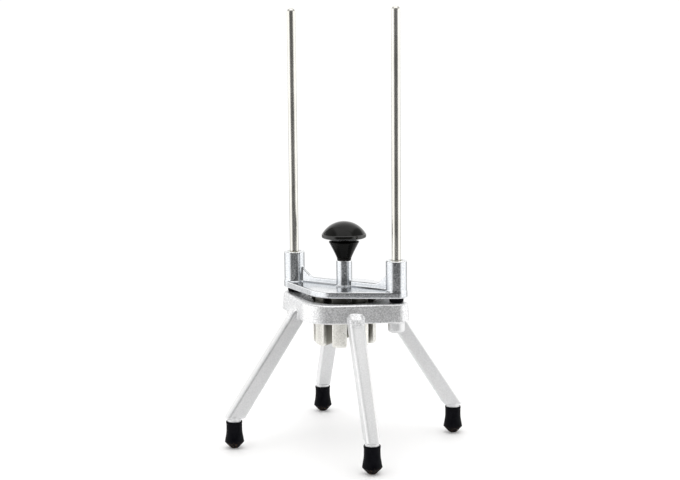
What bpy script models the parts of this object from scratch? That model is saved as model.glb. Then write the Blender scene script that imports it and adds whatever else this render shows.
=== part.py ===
"""Egg slicer: a push-down wedger on four splayed legs.

A cast base holds a ring of crossed blades and two upright guide rods. A cast
pusher head slides down the rods and drives eight fingers between the blades.

Metres, +Z up. The origin is on the table under the centre of the blade ring,
and the two rods stand on the X axis.
"""
import math

import bmesh
import bpy

MM = 0.001

# Overall sizes
ROD_TIP_HEIGHT = 440 * MM
DECK_HEIGHT = 150 * MM
ROD_PITCH = 122 * MM
FOOT_CIRCLE_RADIUS = 115.2 * MM

# Clearances
SEAT_GAP = 0.3 * MM
THREAD_GAP = 0.2 * MM
RUNNING_GAP = 0.1 * MM

# Blade ring and blades
CUT_RADIUS = 33.2 * MM
RING_WALL = 2.8 * MM
RING_DEPTH = 15.4 * MM
RING_LEAD_IN = 1.2 * MM
FLANGE_WIDTH = 6.2 * MM
FLANGE_THICKNESS = 3.1 * MM
BLADE_COUNT = 4
BLADE_THICKNESS = 0.9 * MM
BLADE_EDGE_THICKNESS = 0.25 * MM
BLADE_BEVEL = 2.4 * MM
BLADE_HEIGHT = 12 * MM
BLADE_DROP = 2.6 * MM
RING_SCREW_RADIUS = 1.25 * MM
RING_SCREW_LENGTH = 5.8 * MM

# Base casting
FRAME_HEIGHT = 18.5 * MM
DECK_THICKNESS = 7 * MM
SKIRT_WALL = 4.5 * MM
SKIRT_DRAFT = 1.8 * MM
FRAME_EDGE_ROUND = 2.2 * MM
ROUND_MIDDLE = 0.3
RIM_WIDTH = 11 * MM
BULGE_CENTRE = 21.5 * MM
ROD_BOSS_WALL = 4 * MM
ROD_BOSS_DROP = 11.7 * MM
ROD_BOSS_ROUND = 2.6 * MM
EAR_MARGIN = 2.8 * MM
ROD_SOCKET_DEPTH = 20 * MM
ROD_SHOULDER = 2.5 * MM

# Legs, cast in one with the base
LEG_COUNT = 4
LEG_WIDTH_TOP = 15 * MM
LEG_WIDTH_FOOT = 13.5 * MM
LEG_DEPTH_TOP = 17.8 * MM
LEG_DEPTH_FOOT = 19.8 * MM
LEG_CHAMFER = 2.5 * MM
LEG_PAD_STAND = 9.8 * MM
LEG_PAD_RISE = 10 * MM
LEG_PAD_LEAN = 4.1 * MM
LEG_PAD_ROUND = 5 * MM
LEG_KNEE_DROP = 2.2 * MM
LEG_LIP = 3 * MM
STUB_RADIUS = 7 * MM
STUB_LENGTH = 20 * MM

# Rubber feet
FOOT_HEIGHT = 28 * MM
FOOT_WALL = 0.9 * MM
FOOT_FLARE = 1.6 * MM
FOOT_FLARE_HEIGHT = 6.8 * MM
FOOT_FLARE_LENGTH = 9.6 * MM
FOOT_CONE_CROWN = 0.3
FOOT_PAD_RADIUS = 3.5 * MM

# Guide rods and what fixes them
ROD_RADIUS = 4.5 * MM
ROD_SCREW_RADIUS = 2.5 * MM
ROD_SCREW_GRIP = 11.5 * MM
ROD_SCREW_HEAD_RADIUS = 4.25 * MM
ROD_SCREW_HEAD_HEIGHT = 4.5 * MM
ROD_SCREW_SOCKET_RADIUS = 2.1 * MM
WASHER_RADIUS = 5.2 * MM
WASHER_THICKNESS = 1 * MM

# Rubber bumpers between base and pusher head
BUMPER_WALL = 2.4 * MM
REST_GAP = 5 * MM

# Pusher head
PLATE_THICKNESS = 6.5 * MM
PLATE_EDGE_ROUND = 0.9 * MM
PLATE_SETBACK = 0.5 * MM
PLATE_BULGE_CENTRE = 8 * MM
PLATE_EAR_MARGIN = 0.1 * MM
GUIDE_BOSS_HEIGHT = 37.1 * MM
GUIDE_BOSS_WALL = 3.7 * MM
GUIDE_BOSS_ROUND = 1 * MM
BUSH_WALL = 2 * MM
BUSH_LENGTH = 12 * MM
BUSH_RECESS = 0.5 * MM
STEM_RADIUS = 8 * MM
STEM_HEIGHT = 26 * MM
STEM_ROUND = 0.7 * MM
RIB_THICKNESS = 3.5 * MM
RIB_HEIGHT = 5.5 * MM
GUSSET_RISE = 9.4 * MM
GUSSET_RUN = 11.2 * MM
PUSHER_TRAVEL = 240 * MM

# Finger block
FINGER_LENGTH = 51.6 * MM
FINGER_RING_GAP = 1.2 * MM
FINGER_SPACING = 9.2 * MM
FINGER_NOSE_RADIUS = 13 * MM
FINGER_TIP_BEVEL = 2.5 * MM
DISC_THICKNESS = 3 * MM
DISC_MARGIN = 0.5 * MM
FINGER_SCREW_COUNT = 4
FINGER_SCREW_RADIUS = 2 * MM
FINGER_SCREW_INSET = 11.5 * MM
FINGER_SCREW_LENGTH = 5.6 * MM
COUNTERSINK_SPREAD = 1.1 * MM

# Knob and stud
STUD_RADIUS = 4 * MM
STUD_IN_STEM = 15 * MM
STUD_IN_KNOB = 17 * MM
KNOB_NECK_RADIUS = 7.2 * MM
KNOB_COLLAR_HEIGHT = 1.4 * MM
KNOB_FLARE_CURVE = 1.12
KNOB_EDGE_ROUND = 0.8 * MM
KNOB_FLARE_RADIUS = 15.4 * MM
KNOB_FLARE_HEIGHT = 18.3 * MM
KNOB_THROAT_RADIUS = 12.6 * MM
KNOB_HEAD_RADIUS = 22.5 * MM
KNOB_HEAD_BASE = 22.6 * MM
KNOB_BAND_HEIGHT = 4 * MM
KNOB_DOME_HEIGHT = 12.7 * MM

# Facets of round shapes
FINE_STEPS = 48
ROUND_STEPS = 24
SMALL_STEPS = 16
ARC_STEPS = 6
SMOOTH_ANGLE = math.radians(38)
OVERSHOOT = 2 * MM

# Sizes worked out from the ones above
ROD_X = ROD_PITCH / 2
FRAME_BOTTOM = DECK_HEIGHT - FRAME_HEIGHT
RING_RADIUS = CUT_RADIUS + RING_WALL
FLANGE_RADIUS = RING_RADIUS + FLANGE_WIDTH
OPENING_RADIUS = RING_RADIUS + SEAT_GAP
RECESS_RADIUS = FLANGE_RADIUS + SEAT_GAP
RECESS_FLOOR = DECK_HEIGHT - FLANGE_THICKNESS - 2 * SEAT_GAP
RING_TOP = DECK_HEIGHT - SEAT_GAP
RING_BOTTOM = RING_TOP - RING_DEPTH
BLADE_TOP = RING_TOP - BLADE_DROP
BLADE_BOTTOM = BLADE_TOP - BLADE_HEIGHT
BLADE_REACH = RING_RADIUS - SEAT_GAP
ROD_BOSS_RADIUS = ROD_RADIUS + ROD_BOSS_WALL
ROD_BOSS_BOTTOM = FRAME_BOTTOM - ROD_BOSS_DROP
ROD_BOTTOM = DECK_HEIGHT - ROD_SOCKET_DEPTH + SEAT_GAP
ROD_SHOULDER_BOTTOM = DECK_HEIGHT - ROD_SOCKET_DEPTH - ROD_SHOULDER
PLATE_BOTTOM = DECK_HEIGHT + REST_GAP
PLATE_TOP = PLATE_BOTTOM + PLATE_THICKNESS
BUSH_BORE = ROD_RADIUS + RUNNING_GAP
BUSH_RADIUS = BUSH_BORE + BUSH_WALL
BUSH_SEAT_RADIUS = BUSH_RADIUS + THREAD_GAP
GUIDE_BOSS_RADIUS = BUSH_SEAT_RADIUS + GUIDE_BOSS_WALL
GUIDE_BOSS_TOP = PLATE_BOTTOM + GUIDE_BOSS_HEIGHT
STEM_TOP = PLATE_TOP + STEM_HEIGHT
FINGER_RADIUS = CUT_RADIUS - FINGER_RING_GAP
DISC_RADIUS = FINGER_RADIUS + DISC_MARGIN
FINGER_COUNT = 2 * BLADE_COUNT
KNOB_BOTTOM = STEM_TOP + SEAT_GAP


# ---------------------------------------------------------------- building


def clear_scene():
    """Remove every object that is already there."""
    for old in list(bpy.data.objects):
        bpy.data.objects.remove(old, do_unlink=True)


def finish(name, colour, roughness, metallic):
    """A Principled material with one colour."""
    material = bpy.data.materials.new(name)
    material.use_nodes = True
    shader = material.node_tree.nodes["Principled BSDF"]
    shader.inputs["Base Color"].default_value = (*colour, 1.0)
    shader.inputs["Roughness"].default_value = roughness
    shader.inputs["Metallic"].default_value = metallic
    return material


def solid(name, vertices, faces, material=None):
    """An object from vertices and faces, closed and facing outwards."""
    mesh = bpy.data.meshes.new(name)
    mesh.from_pydata(vertices, [], faces)
    if material is not None:
        mesh.materials.append(material)
    shape = bmesh.new()
    shape.from_mesh(mesh)
    bmesh.ops.recalc_face_normals(shape, faces=shape.faces)
    shape.to_mesh(mesh)
    shape.free()
    mesh.shade_smooth()
    mesh.set_sharp_from_angle(angle=SMOOTH_ANGLE)
    made = bpy.data.objects.new(name, mesh)
    bpy.context.scene.collection.objects.link(made)
    return made


def lofted(name, rings, material=None):
    """A solid skinned over rings that have the same number of points."""
    count = len(rings[0])
    vertices = [point for ring in rings for point in ring]
    faces = [tuple(range(count)), tuple(range(len(vertices) - count, len(vertices)))]
    for level in range(len(rings) - 1):
        for k in range(count):
            low = level * count + k
            low_next = level * count + (k + 1) % count
            faces.append((low, low_next, low_next + count, low + count))
    return solid(name, vertices, faces, material)


def prism(name, outline, low, high, material=None):
    """A solid with one plan outline between two heights."""
    rings = [[(x, y, z) for x, y in outline] for z in (low, high)]
    return lofted(name, rings, material)


def block(name, low, high):
    """A box from its lowest and highest corners."""
    (x0, y0, z0), (x1, y1, z1) = low, high
    return prism(name, [(x0, y0), (x1, y0), (x1, y1), (x0, y1)], z0, z1)


def turned(name, profile, steps=ROUND_STEPS, material=None):
    """A closed profile of (radius, height) points turned about the Z axis."""
    vertices = []
    rows = []
    for radius, height in profile:
        if radius == 0:
            rows.append([len(vertices)] * steps)
            vertices.append((0, 0, height))
            continue
        rows.append(range(len(vertices), len(vertices) + steps))
        for k in range(steps):
            angle = 2 * math.pi * k / steps
            vertices.append((radius * math.cos(angle), radius * math.sin(angle), height))
    faces = []
    for row, following in zip(rows, rows[1:] + rows[:1]):
        for k in range(steps):
            corners = (row[k], row[(k + 1) % steps], following[(k + 1) % steps], following[k])
            distinct = tuple(dict.fromkeys(corners))
            if len(distinct) > 2:
                faces.append(distinct)
    return solid(name, vertices, faces, material)


def drum(name, radius, low, high, steps=ROUND_STEPS):
    """A plain cylinder about the Z axis."""
    return turned(name, [(0, low), (radius, low), (radius, high), (0, high)], steps)


def arc(centre, radius, start, end, steps=ARC_STEPS):
    """Points on an arc, from one angle to another in degrees."""
    points = []
    for k in range(steps + 1):
        angle = math.radians(start + (end - start) * k / steps)
        points.append((centre[0] + radius * math.cos(angle), centre[1] + radius * math.sin(angle)))
    return points


def join(body, *additions):
    """Weld solids onto a body."""
    combine(body, additions, "UNION")


def cut(body, *cutters):
    """Take solids away from a body."""
    combine(body, cutters, "DIFFERENCE")


def combine(body, tools, operation):
    """Add one Boolean for each tool.

    Every solid here is closed, and the EXACT solver leaves open edges on flat
    faces that hold several round holes, so the MANIFOLD solver is used.
    """
    for tool in tools:
        modifier = body.modifiers.new(tool.name, "BOOLEAN")
        modifier.operation = operation
        modifier.solver = "MANIFOLD"
        modifier.object = tool
        tool.hide_render = True
        tool.display_type = "WIRE"


def place(thing, x=0.0, y=0.0, z=0.0, turn=0.0):
    """Put an object at a point, turned about Z by an angle in radians."""
    thing.location = (x, y, z)
    thing.rotation_euler = (0, 0, turn)
    return thing


def around(radius, angle):
    """The x and y of a point on a circle about the Z axis."""
    return radius * math.cos(angle), radius * math.sin(angle)


# ------------------------------------------------------- the plan outlines


def flank_normal(ear_radius, bulge_y, bulge_radius):
    """The bearing that the straight flank between an ear and a bulge faces."""
    span = math.hypot(ROD_X, bulge_y)
    return math.acos((bulge_radius - ear_radius) / span) - math.atan2(bulge_y, ROD_X)


def rhombus(ear_radius, bulge_y, bulge_radius, grow=0.0):
    """A rounded rhombus: an ear round each rod, and a wide bulge on each side."""
    facing = math.degrees(flank_normal(ear_radius, bulge_y, bulge_radius))
    ear = ear_radius + grow
    bulge = bulge_radius + grow
    return (
        arc((ROD_X, 0), ear, -facing, facing)
        + arc((0, bulge_y), bulge, facing, 180 - facing)
        + arc((-ROD_X, 0), ear, 180 - facing, 180 + facing)
        + arc((0, -bulge_y), bulge, 180 + facing, 360 - facing)
    )


def frame_outline(grow=0.0):
    """The base's top outline, grown all round."""
    bulge_radius = RECESS_RADIUS + RIM_WIDTH - BULGE_CENTRE
    return rhombus(ROD_BOSS_RADIUS + EAR_MARGIN, BULGE_CENTRE, bulge_radius, grow)


def plate_outline(grow=0.0):
    """The pusher plate's outline, grown all round."""
    bulge_radius = RECESS_RADIUS - PLATE_SETBACK - PLATE_BULGE_CENTRE
    return rhombus(GUIDE_BOSS_RADIUS + PLATE_EAR_MARGIN, PLATE_BULGE_CENTRE, bulge_radius, grow)


def frame_reach(angle, grow=0.0):
    """How far the base's flank is from the centre, along a bearing."""
    ear = ROD_BOSS_RADIUS + EAR_MARGIN
    bulge = RECESS_RADIUS + RIM_WIDTH - BULGE_CENTRE
    facing = flank_normal(ear, BULGE_CENTRE, bulge)
    distance = bulge + BULGE_CENTRE * math.sin(facing) + grow
    return distance / math.cos(angle - facing)


# ------------------------------------------------------------ base casting


def frame_shell():
    """The drafted, round-edged body of the base, without its hollow."""
    round_start = FRAME_EDGE_ROUND * SKIRT_DRAFT / FRAME_HEIGHT
    levels = [
        (SKIRT_DRAFT, FRAME_BOTTOM),
        (round_start, DECK_HEIGHT - FRAME_EDGE_ROUND),
        (-ROUND_MIDDLE * FRAME_EDGE_ROUND, DECK_HEIGHT - ROUND_MIDDLE * FRAME_EDGE_ROUND),
        (-FRAME_EDGE_ROUND, DECK_HEIGHT),
    ]
    return [[(x, y, height) for x, y in frame_outline(grow)] for grow, height in levels]


def leg_rings():
    """Level sections of a leg that lies along +X, from the foot to the pad.

    Above the knee the outer face leans in less than it does below.
    """
    wall = frame_reach(math.pi / LEG_COUNT, SKIRT_DRAFT)
    pad = wall + LEG_PAD_STAND
    pad_end = pad - LEG_PAD_LEAN
    in_wall = wall - SKIRT_WALL / 2 - SKIRT_DRAFT / 2
    knee = FRAME_BOTTOM - LEG_KNEE_DROP
    pad_top = FRAME_BOTTOM + LEG_PAD_RISE
    lean = LEG_PAD_LEAN / (pad_top - LEG_PAD_ROUND - knee)
    foot_out = FOOT_CIRCLE_RADIUS + LEG_DEPTH_FOOT / 2
    foot_in = FOOT_CIRCLE_RADIUS - LEG_DEPTH_FOOT / 2
    inner_slope = (foot_in - pad + LEG_DEPTH_TOP) / (knee - FOOT_HEIGHT - LEG_LIP)
    inner_end = pad - LEG_DEPTH_TOP - LEG_KNEE_DROP * inner_slope
    shoulder = FRAME_BOTTOM + LEG_PAD_RISE / 3
    levels = [
        (FOOT_HEIGHT + LEG_LIP, foot_in, foot_out, LEG_WIDTH_FOOT),
        (knee, pad - LEG_DEPTH_TOP, pad, LEG_WIDTH_TOP),
        (FRAME_BOTTOM, inner_end, pad - LEG_KNEE_DROP * lean, LEG_WIDTH_TOP),
        (shoulder, in_wall, pad - (shoulder - knee) * lean, LEG_WIDTH_TOP),
        (pad_top - LEG_PAD_ROUND, in_wall, pad_end, LEG_WIDTH_TOP),
        (pad_top - LEG_PAD_ROUND / 3, in_wall, pad_end - LEG_PAD_ROUND / 3,
         LEG_WIDTH_TOP - LEG_CHAMFER / 2),
        (pad_top, in_wall, pad_end - LEG_PAD_ROUND, LEG_WIDTH_TOP - LEG_CHAMFER),
    ]
    return [[(x, y, height) for x, y in leg_section(inner, outer, width)]
            for height, inner, outer, width in levels]


def leg_section(inner, outer, width):
    """A leg's level section, with its two outer corners cut off."""
    side = width / 2
    return [
        (inner, -side),
        (outer - LEG_CHAMFER, -side),
        (outer, LEG_CHAMFER - side),
        (outer, side - LEG_CHAMFER),
        (outer - LEG_CHAMFER, side),
        (inner, side),
    ]


def foot_stub():
    """The round peg under a leg that its rubber foot is pushed onto."""
    top = FOOT_HEIGHT + LEG_LIP + OVERSHOOT
    return drum("stub", STUB_RADIUS, FOOT_HEIGHT - STUB_LENGTH, top)


def leg_bearings():
    """The bearings of the four legs, midway between the X and Y axes."""
    return [math.pi * (2 * k + 1) / LEG_COUNT for k in range(LEG_COUNT)]


def rod_boss():
    """The round boss under an ear, which takes a rod from above."""
    inside = DECK_HEIGHT - DECK_THICKNESS / 2
    profile = [
        (0, ROD_BOSS_BOTTOM),
        (ROD_BOSS_RADIUS - ROD_BOSS_ROUND, ROD_BOSS_BOTTOM),
        (ROD_BOSS_RADIUS, ROD_BOSS_BOTTOM + ROD_BOSS_ROUND),
        (ROD_BOSS_RADIUS, inside),
        (0, inside),
    ]
    return turned("rod_boss", profile)


def rod_seat_cutter():
    """Rod socket from above, screw hole through the shoulder, counterbore below."""
    socket = ROD_RADIUS + THREAD_GAP
    screw = ROD_SCREW_RADIUS + THREAD_GAP
    counterbore = WASHER_RADIUS + SEAT_GAP
    low = ROD_BOSS_BOTTOM - OVERSHOOT
    shoulder_top = ROD_SHOULDER_BOTTOM + ROD_SHOULDER
    profile = [
        (0, low),
        (counterbore, low),
        (counterbore, ROD_SHOULDER_BOTTOM),
        (screw, ROD_SHOULDER_BOTTOM),
        (screw, shoulder_top),
        (socket, shoulder_top),
        (socket, DECK_HEIGHT + OVERSHOOT),
        (0, DECK_HEIGHT + OVERSHOOT),
    ]
    return turned("rod_seat_cutter", profile)


def ring_seat_cutter():
    """The opening for the blade ring, with a recess round it for the flange."""
    profile = [
        (0, FRAME_BOTTOM),
        (OPENING_RADIUS, FRAME_BOTTOM),
        (OPENING_RADIUS, RECESS_FLOOR),
        (RECESS_RADIUS, RECESS_FLOOR),
        (RECESS_RADIUS, DECK_HEIGHT + OVERSHOOT),
        (0, DECK_HEIGHT + OVERSHOOT),
    ]
    return turned("ring_seat_cutter", profile, FINE_STEPS)


def base_casting(aluminium):
    """Frame, underside bosses, four legs and their foot stubs, in one casting."""
    body = lofted("base_casting", frame_shell(), aluminium)
    hollow = prism("hollow_cutter", frame_outline(SKIRT_DRAFT - SKIRT_WALL),
                   FRAME_BOTTOM - OVERSHOOT, DECK_HEIGHT - DECK_THICKNESS)
    cut(body, hollow)
    for side in (-1, 1):
        join(body, place(rod_boss(), side * ROD_X))
    for angle in leg_bearings():
        join(body, place(lofted("leg", leg_rings()), turn=angle))
        join(body, place(foot_stub(), *around(FOOT_CIRCLE_RADIUS, angle)))
    cut(body, ring_seat_cutter())
    for side in (-1, 1):
        cut(body, place(rod_seat_cutter(), side * ROD_X))
    for angle in ring_screw_bearings():
        hole = drum("ring_screw_hole", RING_SCREW_RADIUS + THREAD_GAP,
                    DECK_HEIGHT - DECK_THICKNESS - OVERSHOOT, DECK_HEIGHT, SMALL_STEPS)
        cut(body, place(hole, *around(ring_screw_circle(), angle)))
    return body


def rubber_foot(name, rubber, angle):
    """A slip-on foot: a sleeve that flares out to a blunt cone."""
    bore = STUB_RADIUS + SEAT_GAP
    sleeve = bore + FOOT_WALL
    flare = sleeve + FOOT_FLARE
    cavity_floor = FOOT_HEIGHT - STUB_LENGTH - SEAT_GAP
    waist = FOOT_FLARE_HEIGHT + FOOT_FLARE_LENGTH
    profile = [
        (0, 0),
        (FOOT_PAD_RADIUS, 0),
        ((FOOT_PAD_RADIUS + flare) / 2, FOOT_CONE_CROWN * FOOT_FLARE_HEIGHT),
        (flare, FOOT_FLARE_HEIGHT),
        (sleeve + FOOT_FLARE / 4, FOOT_FLARE_HEIGHT + FOOT_FLARE_LENGTH / 2),
        (sleeve, waist),
        (sleeve, FOOT_HEIGHT),
        (bore, FOOT_HEIGHT),
        (bore, cavity_floor),
        (0, cavity_floor),
    ]
    foot = turned(name, profile, ROUND_STEPS, rubber)
    return place(foot, *around(FOOT_CIRCLE_RADIUS, angle))


# ---------------------------------------------------- blade ring and blades


def ring_screw_circle():
    """Radius of the ring screws' circle, along the middle of the flange."""
    return RING_RADIUS + SEAT_GAP + (FLANGE_WIDTH - SEAT_GAP) / 2


def ring_screw_bearings():
    """Two ring screws towards each ear, each halfway between two blades."""
    step = math.pi / (2 * BLADE_COUNT)
    return [step, math.pi - step, math.pi + step, -step]


def countersink(name, shank, length, gap=0.0, material=None):
    """A countersunk screw, or with a gap its hole, with its flat top at height 0."""
    head = shank + COUNTERSINK_SPREAD + gap
    stem = shank + gap
    top = OVERSHOOT if gap else 0.0
    profile = [
        (0, -length),
        (stem, -length),
        (stem, -COUNTERSINK_SPREAD - gap),
        (head, -gap),
        (head, top),
        (0, top),
    ]
    if not gap:
        profile.remove((head, top))
    return turned(name, profile, SMALL_STEPS, material)


def blade_ring(plastic):
    """A flanged tube with a window for each end of each blade."""
    profile = [
        (CUT_RADIUS, RING_BOTTOM),
        (RING_RADIUS, RING_BOTTOM),
        (RING_RADIUS, RING_TOP - FLANGE_THICKNESS),
        (FLANGE_RADIUS, RING_TOP - FLANGE_THICKNESS),
        (FLANGE_RADIUS, RING_TOP),
        (CUT_RADIUS + RING_LEAD_IN, RING_TOP),
        (CUT_RADIUS, RING_TOP - RING_LEAD_IN),
    ]
    ring = turned("blade_ring", profile, FINE_STEPS, plastic)
    side = BLADE_THICKNESS / 2 + SEAT_GAP
    for k in range(BLADE_COUNT):
        window = block(
            "blade_window",
            (-RING_RADIUS - OVERSHOOT, -side, BLADE_BOTTOM - SEAT_GAP),
            (RING_RADIUS + OVERSHOOT, side, RING_TOP - FLANGE_THICKNESS - SEAT_GAP),
        )
        slot = block(
            "blade_slot",
            (-BLADE_REACH - SEAT_GAP, -side, RING_TOP - FLANGE_THICKNESS - 2 * SEAT_GAP),
            (BLADE_REACH + SEAT_GAP, side, RING_TOP + OVERSHOOT),
        )
        for opening in (window, slot):
            cut(ring, place(opening, turn=math.pi * k / BLADE_COUNT))
    for angle in ring_screw_bearings():
        hole = countersink("ring_screw_cutter", RING_SCREW_RADIUS,
                           RING_SCREW_LENGTH + OVERSHOOT, THREAD_GAP)
        cut(ring, place(hole, *around(ring_screw_circle(), angle), RING_TOP))
    return ring


def blade(name, number, steel):
    """A sharpened strip, notched so that it crosses the others at the middle.

    Each blade is whole only within its own share of the height.
    """
    side = BLADE_THICKNESS / 2
    edge = BLADE_EDGE_THICKNESS / 2
    shoulder = BLADE_TOP - BLADE_BEVEL
    section = [
        (-side, BLADE_BOTTOM),
        (side, BLADE_BOTTOM),
        (side, shoulder),
        (edge, BLADE_TOP),
        (-edge, BLADE_TOP),
        (-side, shoulder),
    ]
    rings = [[(x, y, z) for y, z in section] for x in (-BLADE_REACH, BLADE_REACH)]
    strip = lofted(name, rings, steel)
    angle = math.pi / BLADE_COUNT
    notch = (side + SEAT_GAP + side * math.cos(angle)) / math.sin(angle)
    share = BLADE_HEIGHT / BLADE_COUNT
    bridge_low = BLADE_BOTTOM + number * share + SEAT_GAP / 2
    bridge_high = bridge_low + share - SEAT_GAP
    if number > 0:
        cut(strip, place(block("notch_below", (-notch, -notch, BLADE_BOTTOM - OVERSHOOT),
                               (notch, notch, bridge_low)), turn=number * angle))
    if number < BLADE_COUNT - 1:
        cut(strip, place(block("notch_above", (-notch, -notch, bridge_high),
                               (notch, notch, BLADE_TOP + OVERSHOOT)), turn=number * angle))
    return place(strip, turn=number * angle)


def ring_screw(name, steel, angle):
    """A small countersunk screw that holds the blade ring's flange down."""
    screw = countersink(name, RING_SCREW_RADIUS, RING_SCREW_LENGTH, material=steel)
    return place(screw, *around(ring_screw_circle(), angle), RING_TOP)


# ------------------------------------------------------------- guide rods


def guide_rod(name, steel, side):
    """A round bar with a domed tip and a tapped hole in its lower end."""
    hole = ROD_SCREW_RADIUS + THREAD_GAP
    hole_top = ROD_BOTTOM + ROD_SCREW_GRIP + THREAD_GAP * 2
    dome = arc((0, ROD_TIP_HEIGHT - ROD_RADIUS), ROD_RADIUS, 0, 90)
    profile = [
        (0, hole_top),
        (hole, hole_top),
        (hole, ROD_BOTTOM),
        (ROD_RADIUS, ROD_BOTTOM),
        *dome[:-1],
        (0, ROD_TIP_HEIGHT),
    ]
    return place(turned(name, profile, ROUND_STEPS, steel), side * ROD_X)


def rod_washer(name, steel, side):
    """A flat washer under the screw's head, up in the counterbore."""
    top = ROD_SHOULDER_BOTTOM - SEAT_GAP
    bore = ROD_SCREW_RADIUS + THREAD_GAP
    profile = [
        (bore, top - WASHER_THICKNESS),
        (WASHER_RADIUS, top - WASHER_THICKNESS),
        (WASHER_RADIUS, top),
        (bore, top),
    ]
    return place(turned(name, profile, SMALL_STEPS, steel), side * ROD_X)


def rod_screw(name, steel, side):
    """A cap screw that pulls the rod down onto its shoulder."""
    head_top = ROD_SHOULDER_BOTTOM - WASHER_THICKNESS - 2 * SEAT_GAP
    head_bottom = head_top - ROD_SCREW_HEAD_HEIGHT
    tip = ROD_BOTTOM + ROD_SCREW_GRIP
    socket_floor = head_bottom + ROD_SCREW_HEAD_HEIGHT / 2
    profile = [
        (0, socket_floor),
        (ROD_SCREW_SOCKET_RADIUS, socket_floor),
        (ROD_SCREW_SOCKET_RADIUS, head_bottom),
        (ROD_SCREW_HEAD_RADIUS, head_bottom),
        (ROD_SCREW_HEAD_RADIUS, head_top),
        (ROD_SCREW_RADIUS, head_top),
        (ROD_SCREW_RADIUS, tip),
        (0, tip),
    ]
    return place(turned(name, profile, SMALL_STEPS, steel), side * ROD_X)


def rod_bumper(name, rubber, side):
    """A rubber ring round the rod, which the pusher head lands on."""
    bore = ROD_RADIUS + SEAT_GAP
    low = DECK_HEIGHT + SEAT_GAP
    high = PLATE_BOTTOM - SEAT_GAP
    profile = [(bore, low), (bore + BUMPER_WALL, low), (bore + BUMPER_WALL, high), (bore, high)]
    return place(turned(name, profile, SMALL_STEPS, rubber), side * ROD_X)


# ------------------------------------------------------------- pusher head


def head_plate():
    """Level outlines of the pusher plate, with its edges rounded off."""
    levels = [
        (-PLATE_EDGE_ROUND, PLATE_BOTTOM),
        (0.0, PLATE_BOTTOM + PLATE_EDGE_ROUND),
        (0.0, PLATE_TOP - PLATE_EDGE_ROUND),
        (-PLATE_EDGE_ROUND, PLATE_TOP),
    ]
    return [[(x, y, height) for x, y in plate_outline(grow)] for grow, height in levels]


def guide_boss():
    """The outside of a boss that rides on a rod."""
    profile = [
        (0, PLATE_BOTTOM + PLATE_EDGE_ROUND),
        (GUIDE_BOSS_RADIUS, PLATE_BOTTOM + PLATE_EDGE_ROUND),
        (GUIDE_BOSS_RADIUS, GUIDE_BOSS_TOP - GUIDE_BOSS_ROUND),
        (GUIDE_BOSS_RADIUS - GUIDE_BOSS_ROUND, GUIDE_BOSS_TOP),
        (0, GUIDE_BOSS_TOP),
    ]
    return turned("guide_boss", profile)


def guide_bore_cutter():
    """A bush seat at each end of the boss, and a wider-than-rod bore between."""
    seat = BUSH_SEAT_RADIUS
    relief = BUSH_BORE + BUSH_WALL / 2
    lower = PLATE_BOTTOM + BUSH_RECESS + BUSH_LENGTH + SEAT_GAP
    upper = GUIDE_BOSS_TOP - BUSH_RECESS - BUSH_LENGTH - SEAT_GAP
    profile = [
        (0, PLATE_BOTTOM - OVERSHOOT),
        (seat, PLATE_BOTTOM - OVERSHOOT),
        (seat, lower),
        (relief, lower),
        (relief, upper),
        (seat, upper),
        (seat, GUIDE_BOSS_TOP + OVERSHOOT),
        (0, GUIDE_BOSS_TOP + OVERSHOOT),
    ]
    return turned("guide_bore_cutter", profile)


def head_stem():
    """The post in the middle of the plate, which carries the knob."""
    profile = [
        (0, PLATE_TOP - DISC_THICKNESS),
        (STEM_RADIUS, PLATE_TOP - DISC_THICKNESS),
        (STEM_RADIUS, STEM_TOP - STEM_ROUND),
        (STEM_RADIUS - STEM_ROUND, STEM_TOP),
        (0, STEM_TOP),
    ]
    return turned("stem", profile)


def head_rib():
    """The rib between the bosses, rising in a gusset at each end."""
    foot = PLATE_TOP - PLATE_EDGE_ROUND
    crest = PLATE_TOP + RIB_HEIGHT
    inside = ROD_X - BUSH_SEAT_RADIUS - GUIDE_BOSS_WALL / 2
    boss_face = ROD_X - GUIDE_BOSS_RADIUS
    gusset_top = crest + GUSSET_RISE
    gusset_start = boss_face - GUSSET_RUN
    right = [
        (gusset_start, crest),
        (boss_face, gusset_top),
        (inside, gusset_top),
        (inside, foot),
    ]
    left = [(-x, z) for x, z in reversed(right)]
    side = RIB_THICKNESS / 2
    rings = [[(x, y, z) for x, z in right + left] for y in (-side, side)]
    return lofted("rib", rings)


def finger_screw_circle():
    """Radius of the circle of screws that hold the finger block."""
    return DISC_RADIUS - FINGER_SCREW_INSET


def finger_screw_bearings():
    """Each finger screw stands over a blade, between two fingers."""
    return [2 * math.pi * k / FINGER_SCREW_COUNT for k in range(FINGER_SCREW_COUNT)]


def pusher_head(aluminium):
    """Plate, two guide bosses, stem and rib, in one casting."""
    head = lofted("pusher_head", head_plate(), aluminium)
    for side in (-1, 1):
        join(head, place(guide_boss(), side * ROD_X))
    join(head, head_stem(), head_rib())
    pocket_roof = PLATE_BOTTOM + DISC_THICKNESS + SEAT_GAP
    cut(head, drum("disc_pocket", DISC_RADIUS + SEAT_GAP, PLATE_BOTTOM - OVERSHOOT,
                   pocket_roof, FINE_STEPS))
    for side in (-1, 1):
        cut(head, place(guide_bore_cutter(), side * ROD_X))
    cut(head, drum("stud_hole", STUD_RADIUS + THREAD_GAP,
                   STEM_TOP - STUD_IN_STEM - THREAD_GAP, STEM_TOP + OVERSHOOT, SMALL_STEPS))
    for angle in finger_screw_bearings():
        hole = drum("finger_screw_hole", FINGER_SCREW_RADIUS + THREAD_GAP, PLATE_BOTTOM,
                    PLATE_BOTTOM + FINGER_SCREW_LENGTH + THREAD_GAP, SMALL_STEPS)
        cut(head, place(hole, *around(finger_screw_circle(), angle)))
    return head


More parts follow.
